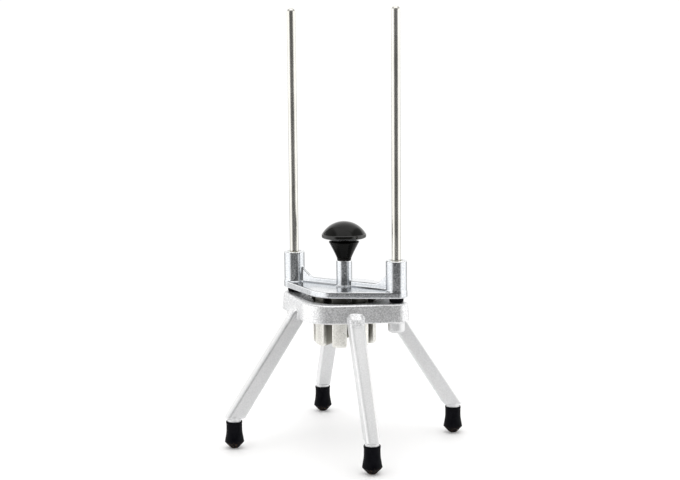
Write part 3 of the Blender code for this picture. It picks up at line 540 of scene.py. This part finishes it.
def machined_finish():
    """Turned aluminium: fine rings round the slicer's axis, bright and smooth."""
    material, tree, shader, place = started("machined_aluminium", Metallic=1.0)
    wave = added(tree, "ShaderNodeTexWave", Scale=900.0, Distortion=0.6, Detail=1.0)
    wave.wave_type = "RINGS"
    wave.rings_direction = "Z"
    tree.links.new(place, wave.inputs["Vector"])
    cloud = noise(tree, place, 9 * MM)
    tree.links.new(tinted(tree, cloud, (0.3, 0.72, 0.73, 0.74), (0.7, 0.84, 0.85, 0.86)),
                   shader.inputs["Base Color"])
    tree.links.new(spread(tree, cloud, 0.3, 0.7, 0.2, 0.32), shader.inputs["Roughness"])
    bumped(tree, shader, (wave.outputs["Fac"], 0.02 * MM))
    return material


machined_aluminium = machined_finish()
base_skin = base_finish()
base_low, base_high = corners("base_casting")
base = piece("base_body", cast(base_field, base_low, base_high, CAST_STEP), base_skin,
             machined_aluminium)
RING_RADIUS = corners("blade_ring")[1][0]
RECESS_FLOOR = DECK - 3.7
OPENING_RADIUS = 36.3
SEAT_PROFILE = [(0, FRAME_BOTTOM), (OPENING_RADIUS, FRAME_BOTTOM), (OPENING_RADIUS, RECESS_FLOOR),
                (RING_RADIUS + 0.3, RECESS_FLOOR), (RING_RADIUS + 0.3, DECK + 2), (0, DECK + 2)]
POCKET_RADIUS, POCKET_TOP = 5.5, 127.5
SCREW_HOLE_RADIUS = 2.7
SOCKET_RADIUS, SOCKET_BOTTOM = 4.7, 130
SOCKET_PROFILE = [(0, BOSS_BOTTOM - 2), (POCKET_RADIUS, BOSS_BOTTOM - 2),
                  (POCKET_RADIUS, POCKET_TOP), (SCREW_HOLE_RADIUS, POCKET_TOP),
                  (SCREW_HOLE_RADIUS, SOCKET_BOTTOM), (SOCKET_RADIUS, SOCKET_BOTTOM),
                  (SOCKET_RADIUS, DECK + 2), (0, DECK + 2)]
base_cutters = [piece("seat_cutter", turned(SEAT_PROFILE, 144), base_skin, machined_aluminium)]
for side in (-1, 1):
    base_cutters.append(piece("socket_cutter", turned(SOCKET_PROFILE, 48, (side * ROD_X, 0)),
                              base_skin, machined_aluminium))
machined(base, base_cutters)
fitted(base, "base", "cast_aluminium", "base_casting")


# ------------------------------------------------------------ rubber feet
# Four slip-on ferrules, moulded in black rubber and pushed onto the pegs: a
# sleeve with a rolled lip, a flare, and a blunt cone that scuffs on the table.

FOOT_CORNERS = [(0, 0), (3.2, 0), (4.6, 0.9), (9.2, 6.0), (9.72, 6.6), (9.8, 6.9), (9.62, 7.5),
                (9.0, 11.2), (8.35, 15.0), (8.0, 18.5), (7.98, 25.2), (8.22, 26.2), (8.22, 27.5),
                (7.9, 28.0), (7.35, 28.0), (7.3, 27.5), (7.3, 7.7), (0, 7.7)]


def eased(points, radius, ring=False, steps=5):
    """A line whose corners are short curves: each leaves its corner's lines a radius
    away, but no more than 0.45 of either line, and follows a parabola between."""
    points = np.asarray(points, float)
    before, after = np.roll(points, 1, 0) - points, np.roll(points, -1, 0) - points
    long_before = np.hypot(*before.T)[:, None]
    long_after = np.hypot(*after.T)[:, None]
    reach = np.minimum(radius, 0.45 * np.minimum(long_before, long_after))
    start = points + before / long_before * reach
    end = points + after / long_after * reach
    t = np.linspace(0, 1, steps + 1)[:, None, None]
    curves = ((1 - t) ** 2 * start + 2 * t * (1 - t) * points + t ** 2 * end).transpose(1, 0, 2)
    if ring:
        return curves.reshape(-1, 2)
    return np.concatenate([points[:1], curves[1:-1].reshape(-1, 2), points[-1:]])


def rubber_finish():
    """Matt moulded rubber, blue-black, dusty in patches, with brown scuffs on the cone."""
    material, tree, shader, place = started("black_rubber", Specular_IOR_Level=0.04)
    fine = noise(tree, place, 0.5 * MM, 2.0)
    cloud = noise(tree, place, 5 * MM, 3.0)
    base_tone = tinted(tree, cloud, (0.35, 0.002, 0.002, 0.0035), (0.7, 0.006, 0.006, 0.008))
    low_down = spread(tree, height_of(tree, place), 9 * MM, 3 * MM)
    scuffs = spread(tree, noise(tree, place, 2.2 * MM, 3.0), 0.55, 0.68, 0.0, 0.75)
    colour = painted(tree, base_tone, (0.16, 0.095, 0.045), multiplied(tree, low_down, scuffs))
    tree.links.new(colour, shader.inputs["Base Color"])
    tree.links.new(spread(tree, cloud, 0.3, 0.7, 0.38, 0.58), shader.inputs["Roughness"])
    bumped(tree, shader, (cloud, 0.12 * MM), (fine, 0.05 * MM))
    return material


black_rubber = rubber_finish()
foot_profile = eased(FOOT_CORNERS, 0.8)
for k in range(4):
    node = f"rubber_foot_{k + 1}"
    centre = sum(corners(node))[:2] / 2
    fitted(piece(f"ferrule_{k + 1}", turned(foot_profile, 64, centre), black_rubber),
           "base", "rubber", node)


# ------------------------------------------------------------- blade ring
# A flanged ring moulded in glossy black plastic, dropped into the machined
# seat. It has a window and a slot for each end of each blade.

RING_LOW, RING_HIGH = corners("blade_ring")
CUT_RADIUS = 33.2
TUBE_RADIUS = 36.0
FLANGE_THICKNESS = 3.1
BLADE_BOTTOM = corners("blade_1")[0][2]
BLADE_TOP = corners("blade_1")[1][2]
BLADE_THICKNESS = 0.9
RING_CORNERS = [(CUT_RADIUS, RING_LOW[2]), (TUBE_RADIUS, RING_LOW[2]),
                (TUBE_RADIUS, RING_HIGH[2] - FLANGE_THICKNESS),
                (RING_RADIUS, RING_HIGH[2] - FLANGE_THICKNESS), (RING_RADIUS, RING_HIGH[2]),
                (CUT_RADIUS + 1.2, RING_HIGH[2]), (CUT_RADIUS, RING_HIGH[2] - 1.2)]
SCREW_BEARINGS = [math.pi / 8, 7 * math.pi / 8, 9 * math.pi / 8, -math.pi / 8]
SCREW_CIRCLE = 39.25


def bar(reach, width, low, high, bearing=0.0, centre=(0.0, 0.0)):
    """A straight bar on a centre, turned to a bearing: its eight corners and six faces."""
    sign = np.array([(i, j, k) for k in (0, 1) for i, j in ((-1, -1), (1, -1), (1, 1), (-1, 1))])
    x, y = sign[:, 0] * reach, sign[:, 1] * width / 2
    points = np.stack([centre[0] + x * math.cos(bearing) - y * math.sin(bearing),
                       centre[1] + x * math.sin(bearing) + y * math.cos(bearing),
                       low + sign[:, 2] * (high - low)], 1)
    faces = [[3, 2, 1, 0], [4, 5, 6, 7]] + [[k, (k + 1) % 4, (k + 1) % 4 + 4, k + 4] for k in range(4)]
    return points, faces


def on_circle(radius, bearing):
    """A point on a circle about the slicer's axis."""
    return np.array([radius * math.cos(bearing), radius * math.sin(bearing)])


def gloss_plastic():
    """Glossy black moulding: a shallow ripple, hazy patches and fine wiping marks."""
    material, tree, shader, place = started("black_moulding", Specular_IOR_Level=0.28)
    ripple = noise(tree, place, 7 * MM, 1.0)
    haze = noise(tree, place, 3 * MM, 4.0)
    tree.links.new(tinted(tree, haze, (0.3, 0.006, 0.006, 0.006), (0.75, 0.018, 0.018, 0.017)),
                   shader.inputs["Base Color"])
    tree.links.new(spread(tree, haze, 0.35, 0.75, 0.1, 0.26), shader.inputs["Roughness"])
    bumped(tree, shader, (ripple, 0.1 * MM))
    return material


black_moulding = gloss_plastic()
ring = piece("blade_holder", turned(eased(RING_CORNERS, 0.5, ring=True), 144), black_moulding)
slot_width = BLADE_THICKNESS + 0.6
openings = []
for k in range(4):
    bearing = math.pi * k / 4
    for reach, low, high in ((38, BLADE_BOTTOM - 0.3, RING_HIGH[2] - FLANGE_THICKNESS - 0.3),
                             (36, RING_HIGH[2] - FLANGE_THICKNESS - 0.6, RING_HIGH[2] + 2)):
        openings.append(piece("opening", bar(reach, slot_width, low, high, bearing), black_moulding))
for bearing in SCREW_BEARINGS:
    hole = [(0, RING_HIGH[2] - 8), (1.45, RING_HIGH[2] - 8), (1.45, RING_HIGH[2] - 1.3),
            (2.55, RING_HIGH[2] - 0.2), (2.55, RING_HIGH[2] + 2), (0, RING_HIGH[2] + 2)]
    openings.append(piece("opening", turned(hole, 32, on_circle(SCREW_CIRCLE, bearing)), black_moulding))
fitted(machined(ring, openings), "base", "ring_plastic", "blade_ring")


# ----------------------------------------------------------------- blades
# Four strips of hardened stainless, ground flat, notched to cross at the
# middle, and bevelled to an edge along the top.

def blade_finish():
    """Ground steel: fine upright grinding lines, brighter and finer on the bevel."""
    material, tree, shader, place = started("blade_steel", Metallic=1.0)
    lines = noise(tree, place, 0.25 * MM, 2.0, (1, 1, 40))
    stain = noise(tree, place, 8 * MM, 3.0)
    bevel = spread(tree, height_of(tree, place), (BLADE_TOP - 2.5) * MM, (BLADE_TOP - 2.3) * MM)
    flat = tinted(tree, stain, (0.3, 0.52, 0.52, 0.51), (0.7, 0.68, 0.68, 0.66))
    tree.links.new(painted(tree, flat, (0.82, 0.82, 0.81), bevel), shader.inputs["Base Color"])
    tree.links.new(spread(tree, lines, 0.3, 0.7, 0.16, 0.34), shader.inputs["Roughness"])
    bumped(tree, shader, (lines, 0.02 * MM))
    return material


blade_steel = blade_finish()
for k in range(4):
    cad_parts[f"blade_{k + 1}"].data.materials.clear()
    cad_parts[f"blade_{k + 1}"].data.materials.append(blade_steel)


# ------------------------------------------------------------ ring screws
# Four small countersunk screws with a cross recess hold the ring's flange
# down, two towards each rod, each halfway between two blades.

def screw_finish():
    """Plain stainless: turning rings lost under handling marks, duller in patches."""
    material, tree, shader, place = started("screw_steel", Metallic=1.0)
    scratch = noise(tree, place, 0.4 * MM, 3.0)
    cloud = noise(tree, place, 2.5 * MM, 2.0)
    tree.links.new(tinted(tree, cloud, (0.3, 0.46, 0.46, 0.45), (0.7, 0.66, 0.66, 0.64)),
                   shader.inputs["Base Color"])
    tree.links.new(spread(tree, scratch, 0.3, 0.7, 0.2, 0.4), shader.inputs["Roughness"])
    bumped(tree, shader, (scratch, 0.02 * MM))
    return material


def cross_screw(name, centre, face, length, shank, sign, turn):
    """A countersunk screw whose flat head is at height face: sign 1 if it points
    down into its hole, and -1 if it points up."""
    outline = [(0, -length), (shank, -length), (shank, -1.1), (shank + 1.0, -0.12),
               (shank + 0.85, 0), (0, 0)]
    profile = [(r, face + sign * z) for r, z in outline][::sign]
    made = piece(name, turned(eased(profile, 0.12), 32, centre), screw_steel, screw_steel)
    low, high = sorted((face - sign * 0.8, face + sign))
    recess = [piece("recess", bar(shank * 0.95, 0.55, low, high, turn + quarter, centre),
                    screw_steel, screw_steel) for quarter in (0, math.pi / 2)]
    return machined(made, recess)


screw_steel = screw_finish()
for k, bearing in enumerate(SCREW_BEARINGS):
    made = cross_screw(f"ring_fixing_{k + 1}", on_circle(SCREW_CIRCLE, bearing), RING_HIGH[2],
                       5.8, 1.25, 1, 0.5 + 1.3 * k)
    fitted(made, "base", "screw_steel", f"ring_screw_{k + 1}")


# ------------------------------------------------------------- guide rods
# Two polished stainless bars with domed tips stand in the frame's sockets,
# each pulled down on its shoulder by a cap screw and washer from below.

def rod_finish():
    """Polished bar: faint drawn lines along it and finer ones round it, smudged by hands."""
    material, tree, shader, place = started("rod_steel", Metallic=1.0)
    drawn = noise(tree, place, 0.35 * MM, 2.0, (1, 1, 60))
    rounds = noise(tree, place, 0.3 * MM, 1.0, (30, 30, 1))
    smudge = noise(tree, place, 14 * MM, 4.0, (1, 1, 2.5))
    tree.links.new(tinted(tree, smudge, (0.3, 0.57, 0.56, 0.525), (0.72, 0.69, 0.68, 0.645)),
                   shader.inputs["Base Color"])
    tree.links.new(spread(tree, blended(tree, smudge, rounds, 0.15), 0.3, 0.7, 0.2, 0.3),
                   shader.inputs["Roughness"])
    bumped(tree, shader, (drawn, 0.003 * MM))
    return material


TAPPED_DEPTH = 11.9
WASHER_RADIUS = 5.2
CAP_RADIUS, CAP_HEIGHT, CAP_SHANK = 4.25, 4.5, 2.5
HEXAGON_RADIUS, HEXAGON_DEPTH = 2.1, 2.25

rod_steel = rod_finish()
for word in ("left", "right"):
    low, high = corners(f"guide_rod_{word}")
    centre = (low + high)[:2] / 2
    radius = (high - low)[0] / 2
    dome = np.linspace(0, math.pi / 2, 14)[:-1]
    profile = [(0, low[2] + TAPPED_DEPTH), (SCREW_HOLE_RADIUS, low[2] + TAPPED_DEPTH),
               (SCREW_HOLE_RADIUS, low[2]), (radius - 0.3, low[2]), (radius, low[2] + 0.3)]
    profile += [(radius * math.cos(a), high[2] - radius + radius * math.sin(a)) for a in dome]
    profile.append((0, high[2]))
    fitted(piece(f"rod_{word}", turned(profile, 72, centre), rod_steel),
           "base", "rod_steel", f"guide_rod_{word}")
    low, high = corners(f"rod_washer_{word}")
    washer = [(SCREW_HOLE_RADIUS, low[2]), (WASHER_RADIUS, low[2]),
              (WASHER_RADIUS, high[2]), (SCREW_HOLE_RADIUS, high[2])]
    fitted(piece(f"washer_{word}", turned(eased(washer, 0.2, ring=True), 48, centre), screw_steel),
           "base", "screw_steel", f"rod_washer_{word}")
    low, high = corners(f"rod_screw_{word}")
    head_top = low[2] + CAP_HEIGHT
    cap = [(0, low[2]), (CAP_RADIUS, low[2]), (CAP_RADIUS, head_top), (CAP_SHANK, head_top),
           (CAP_SHANK, high[2]), (0, high[2])]
    cap_screw = piece(f"cap_screw_{word}", turned(eased(cap, 0.35), 48, centre), screw_steel, screw_steel)
    socket = [(0, low[2] - 1), (HEXAGON_RADIUS, low[2] - 1),
              (HEXAGON_RADIUS, low[2] + HEXAGON_DEPTH), (0, low[2] + HEXAGON_DEPTH)]
    machined(cap_screw, [piece("hexagon", turned(socket, 6, centre), screw_steel, screw_steel)])
    fitted(cap_screw, "base", "screw_steel", f"rod_screw_{word}")


# ---------------------------------------------------------------- bumpers
# A soft rubber ring round each rod, barrelled a little, which the pusher
# head lands on at the end of a stroke.

BUMPER_BORE_RADIUS = 4.8
BARREL_SWELL = 0.35

for word in ("left", "right"):
    low, high = corners(f"rod_bumper_{word}")
    centre = (low + high)[:2] / 2
    inner, outer = BUMPER_BORE_RADIUS, (high - low)[0] / 2
    barrel = [(inner, low[2]), (outer - BARREL_SWELL, low[2]), (outer, (low + high)[2] / 2),
              (outer - BARREL_SWELL, high[2]), (inner, high[2])]
    fitted(piece(f"bumper_{word}", turned(eased(barrel, 0.7, ring=True), 48, centre), black_rubber),
           "base", "rubber", f"rod_bumper_{word}")


# ------------------------------------------------------------ pusher head
# Plate, two guide bosses, knob stem and stiffening rib, cast in one and
# blasted like the base. The bores and the pocket underneath are machined.

HEAD_STEP = 0.7
HEAD_LOW, HEAD_HIGH = corners("pusher_head")
PLATE_BOTTOM = HEAD_LOW[2]
PLATE_TOP = PLATE_BOTTOM + 6.5
HEAD_BOSS_RADIUS = HEAD_HIGH[0] - ROD_X - 0.1
HEAD_BOSS_TOP = HEAD_HIGH[2]
STEM_RADIUS, STEM_TOP = 8.0, PLATE_TOP + 26.0
STUD_HOLE_RADIUS = 4.2
RIB_CREST = PLATE_TOP + 5.5
GUSSET_START, GUSSET_RUN, GUSSET_RISE = ROD_X - HEAD_BOSS_RADIUS - 11.2, 11.2, 9.4


def head_field(x, y, z):
    """Distance from the pusher head's skin: a thin rounded rhombus with a boss at each
    end and a stem in the middle, and a rib between them that rises to each boss."""
    x, y = np.abs(x), np.abs(y)
    plan = rhombus(x, y, HEAD_BOSS_RADIUS + 0.1, 8.0, 34.0)
    plate = common(common(plan, z - PLATE_TOP, 0.9), PLATE_BOTTOM - z, 0.9)
    boss = common(np.hypot(x - ROD_X, y) - HEAD_BOSS_RADIUS, z - HEAD_BOSS_TOP, 1.0)
    boss = np.maximum(boss, PLATE_BOTTOM + 1 - z)
    stem = common(np.hypot(x, y) - STEM_RADIUS, z - STEM_TOP, 0.7)
    stem = np.maximum(stem, PLATE_BOTTOM + 1 - z)
    slope = slanted(x, z, (GUSSET_START, RIB_CREST),
                    (GUSSET_START + GUSSET_RUN, RIB_CREST + GUSSET_RISE), -1)
    crest = welded(z - RIB_CREST, np.maximum(slope, z - RIB_CREST - GUSSET_RISE), 2.0)
    rib = common(y - 1.6 - 0.02 * (RIB_CREST - z), crest, 0.9)
    rib = np.maximum(np.maximum(rib, x - ROD_X + 6), PLATE_BOTTOM + 1 - z)
    return welded(welded(welded(plate, boss, 1.2), stem, 1.6), rib, 1.5)


def head_bores():
    """The rod bores with their bush seats, the pocket, the stud hole and four screw holes."""
    seat, relief, seat_depth = 6.8, 5.6, 12.8
    bore = [(0, PLATE_BOTTOM - 2), (seat, PLATE_BOTTOM - 2), (seat, PLATE_BOTTOM + seat_depth),
            (relief, PLATE_BOTTOM + seat_depth), (relief, HEAD_BOSS_TOP - seat_depth),
            (seat, HEAD_BOSS_TOP - seat_depth), (seat, HEAD_BOSS_TOP + 2), (0, HEAD_BOSS_TOP + 2)]
    disc_radius, disc_depth = 32.8, 3.3
    pocket = [(0, PLATE_BOTTOM - 2), (disc_radius, PLATE_BOTTOM - 2),
              (disc_radius, PLATE_BOTTOM + disc_depth), (0, PLATE_BOTTOM + disc_depth)]
    stud_floor = STEM_TOP - 15.2
    stud = [(0, stud_floor), (STUD_HOLE_RADIUS, stud_floor), (STUD_HOLE_RADIUS, STEM_TOP + 2),
            (0, STEM_TOP + 2)]
    shapes = [turned(bore, 64, (side * ROD_X, 0)) for side in (-1, 1)]
    shapes += [turned(pocket, 144), turned(stud, 48)]
    thread, hole_top = 2.2, PLATE_BOTTOM + 5.8
    hole = [(0, PLATE_BOTTOM), (thread, PLATE_BOTTOM), (thread, hole_top), (0, hole_top)]
    shapes += [turned(hole, 24, sum(corners(f"finger_screw_{k + 1}"))[:2] / 2) for k in range(4)]
    return [piece("bore", shape, head_skin, machined_aluminium) for shape in shapes]


head_skin = cast_finish("head_aluminium", (0.48, 0.50, 0.525), (0.66, 0.675, 0.695), 0.18,
                        0.025 * MM, 0.15)
head = piece("head_body", cast(head_field, HEAD_LOW, HEAD_HIGH, HEAD_STEP), head_skin,
             machined_aluminium)
fitted(machined(head, head_bores()), "pusher", "head_aluminium", "pusher_head")


# ----------------------------------------------------------- guide bushes
# Plain sleeves turned from nylon and pressed into both ends of each bore,
# with a small chamfer where the rod enters.

def nylon_finish():
    """Off-white nylon, a little see-through, with faint turning marks."""
    material, tree, shader, place = started("nylon", Subsurface_Weight=0.15,
                                            Subsurface_Scale=1.5 * MM)
    cloud = noise(tree, place, 4 * MM, 2.0)
    marks = noise(tree, place, 0.3 * MM, 1.0, (20, 20, 1))
    tree.links.new(tinted(tree, cloud, (0.3, 0.72, 0.70, 0.63), (0.7, 0.82, 0.80, 0.74)),
                   shader.inputs["Base Color"])
    tree.links.new(spread(tree, marks, 0.3, 0.7, 0.35, 0.5), shader.inputs["Roughness"])
    bumped(tree, shader, (marks, 0.02 * MM))
    return material


BUSH_BORE_RADIUS = 4.6
BUSH_CHAMFER = 0.5

nylon = nylon_finish()
for node in ("lower_bush_left", "lower_bush_right", "upper_bush_left", "upper_bush_right"):
    low, high = corners(node)
    centre = (low + high)[:2] / 2
    inner, outer = BUSH_BORE_RADIUS, (high - low)[0] / 2
    sleeve = [(inner, low[2] + BUSH_CHAMFER), (inner + BUSH_CHAMFER, low[2]), (outer, low[2]),
              (outer, high[2]), (inner + BUSH_CHAMFER, high[2]), (inner, high[2] - BUSH_CHAMFER)]
    surface = turned(eased(sleeve, 0.15, ring=True), 64, centre)
    fitted(piece(node.replace("bush", "sleeve"), surface, nylon), "pusher", "bush_nylon", node)


# ----------------------------------------------------------- finger block
# A disc with eight fingers hanging from it, one in each space between the
# blades. It is die-cast, left paler and creamier than the head it sits in.

FINGER_STEP = 0.75
BLOCK_LOW, BLOCK_HIGH = corners("finger_block")
FINGER_RADIUS, FINGER_NOSE, FINGER_CLEAR = 32.0, 13.0, 4.6
DISC_BOTTOM = BLOCK_HIGH[2] - 3.0


def finger_field(x, y, z):
    """Distance from the finger block's skin. A point is folded into the eighth of a turn
    of its own finger, which lies between a flank that stands clear of the blade's plane,
    a round back and a round nose."""
    reach = np.hypot(x, y)
    half = math.pi / 8
    turn = np.mod(np.arctan2(y, x), 2 * half) - half
    flank = FINGER_CLEAR - reach * np.sin(half - np.abs(turn))
    finger = common(common(flank, reach - FINGER_RADIUS, 1.3), FINGER_NOSE - reach, 1.0)
    finger = common(finger, BLOCK_LOW[2] - z, 2.2)
    disc = common(common(reach - BLOCK_HIGH[0], z - BLOCK_HIGH[2], 0.5), DISC_BOTTOM - z, 0.6)
    return welded(np.maximum(finger, z - BLOCK_HIGH[2] + 1), disc, 1.8)


def finger_finish():
    """The cast skin left creamy on the fingers' backs, with painted shade laid over it: dark olive in the
    spaces between the fingers, and darker still up at their roots, standing in for the shadow there."""
    material = cast_finish("finger_aluminium", (0.75, 0.74, 0.69), (0.93, 0.92, 0.875), 0.42, 0.08 * MM)
    tree = material.node_tree
    shader = tree.nodes["Principled BSDF"]
    unshaded_cast = shader.inputs["Base Color"].links[0].from_socket
    place = added(tree, "ShaderNodeTexCoord").outputs["Object"]
    level = added(tree, "ShaderNodeVectorMath")
    level.operation = "MULTIPLY"
    level.inputs[1].default_value = (1, 1, 0)
    tree.links.new(place, level.inputs[0])
    reach = added(tree, "ShaderNodeVectorMath")
    reach.operation = "LENGTH"
    tree.links.new(level.outputs["Vector"], reach.inputs[0])
    # painted shade: dark olive towards the axis, in the spaces between the fingers
    between_shade_share = spread(tree, reach.outputs["Value"], 30.5 * MM, 26 * MM, 0.0, 0.8)
    # painted shade: near black up at the roots, in the dark gap under the plate
    root_shade_share = spread(tree, height_of(tree, place), 143 * MM, 149 * MM, 0.0, 0.85)
    shaded_between = painted(tree, unshaded_cast, (0.13, 0.125, 0.095), between_shade_share)
    tree.links.new(painted(tree, shaded_between, (0.07, 0.068, 0.055), root_shade_share), shader.inputs["Base Color"])
    return material


finger_skin = finger_finish()
block = piece("finger_cluster", cast(finger_field, BLOCK_LOW, BLOCK_HIGH, FINGER_STEP), finger_skin,
              machined_aluminium)
sink = [(0, DISC_BOTTOM - 2), (3.2, DISC_BOTTOM - 2), (3.2, DISC_BOTTOM + 0.2),
        (2.2, DISC_BOTTOM + 1.3), (2.2, DISC_BOTTOM + 6), (0, DISC_BOTTOM + 6)]
screw_spots = [sum(corners(f"finger_screw_{k + 1}"))[:2] / 2 for k in range(4)]
sinks = [piece("sink", turned(sink, 32, spot), finger_skin, machined_aluminium) for spot in screw_spots]
fitted(machined(block, sinks), "pusher", "finger_aluminium", "finger_block")

for k, spot in enumerate(screw_spots):
    made = cross_screw(f"block_fixing_{k + 1}", spot, DISC_BOTTOM, 5.6, 2.0, -1, 0.3 + 1.1 * k)
    fitted(made, "pusher", "screw_steel", f"finger_screw_{k + 1}")


# ---------------------------------------------------------- knob and stud
# A mushroom knob, moulded in glossy black phenolic on a threaded stud: a
# trumpet neck, a throat under the head, a straight rim and a domed top.

KNOB_LOW, KNOB_HIGH = corners("knob")
HEAD_RADIUS = KNOB_HIGH[0]
KNOB_NECK_RADIUS = 7.2
DOME_HEIGHT = 12.7
RIM_TOP = KNOB_HIGH[2] - DOME_HEIGHT


def knob_profile():
    """Bore and foot, then the neck's radius growing as height to the power 1.12, the
    throat, the head's underside and rim with a fine step above it, and a dome that is
    part of a sphere."""
    bottom = KNOB_LOW[2]
    rise = np.linspace(0, 1, 18)
    neck = np.stack([KNOB_NECK_RADIUS + 8.2 * rise ** 1.12, bottom + 1.4 + 16.9 * rise], 1)
    crown = HEAD_RADIUS - 0.5
    sphere = (crown ** 2 + DOME_HEIGHT ** 2) / (2 * DOME_HEIGHT)
    lean = np.linspace(math.asin((sphere - DOME_HEIGHT) / sphere), math.pi / 2, 30)[1:-1]
    dome = np.stack([sphere * np.cos(lean), KNOB_HIGH[2] - sphere * (1 - np.sin(lean))], 1)
    bore_top = bottom + 17.2
    foot = [(0, bore_top), (STUD_HOLE_RADIUS, bore_top), (STUD_HOLE_RADIUS, bottom),
            (KNOB_NECK_RADIUS - 0.3, bottom), (KNOB_NECK_RADIUS, bottom + 0.3)]
    throat = eased([neck[-1], (15.2, bottom + 19.0), (12.6, bottom + 19.9), (12.6, bottom + 21.6),
                    (21.2, bottom + 22.4), (HEAD_RADIUS, bottom + 23.3), (HEAD_RADIUS, RIM_TOP - 0.2),
                    (crown + 0.1, RIM_TOP), dome[0]], 0.6)
    return np.concatenate([foot, neck[:-1], throat[:-1], dome, [(0, KNOB_HIGH[2])]])


def phenolic_finish():
    """Polished black phenolic, a trace of brown in its black, hazed by handling. The
    neck, which is out of the polisher's reach, is duller than the head."""
    material, tree, shader, place = started("black_phenolic")
    haze = noise(tree, place, 6 * MM, 4.0)
    ripple = noise(tree, place, 5 * MM, 1.0)
    tree.links.new(tinted(tree, haze, (0.3, 0.001, 0.001, 0.0008), (0.75, 0.005, 0.0045, 0.0035)),
                   shader.inputs["Base Color"])
    tree.links.new(spread(tree, haze, 0.35, 0.75, 0.03, 0.13), shader.inputs["Roughness"])
    height = height_of(tree, place)
    head_height = (KNOB_LOW[2] + 20) * MM
    head_gloss = spread(tree, height, head_height, head_height + 2 * MM, 0.08, 0.5)
    dome_gloss = spread(tree, height, RIM_TOP * MM, (RIM_TOP + 0.5) * MM, 1.0, 0.36)
    tree.links.new(multiplied(tree, head_gloss, dome_gloss), shader.inputs["Specular IOR Level"])
    bumped(tree, shader, (ripple, 0.12 * MM))
    return material


fitted(piece("knob_moulding", turned(knob_profile(), 128), phenolic_finish(), sharp=35),
       "pusher", "knob_plastic", "knob")
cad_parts["knob_stud"].data.materials.clear()
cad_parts["knob_stud"].data.materials.append(screw_steel)
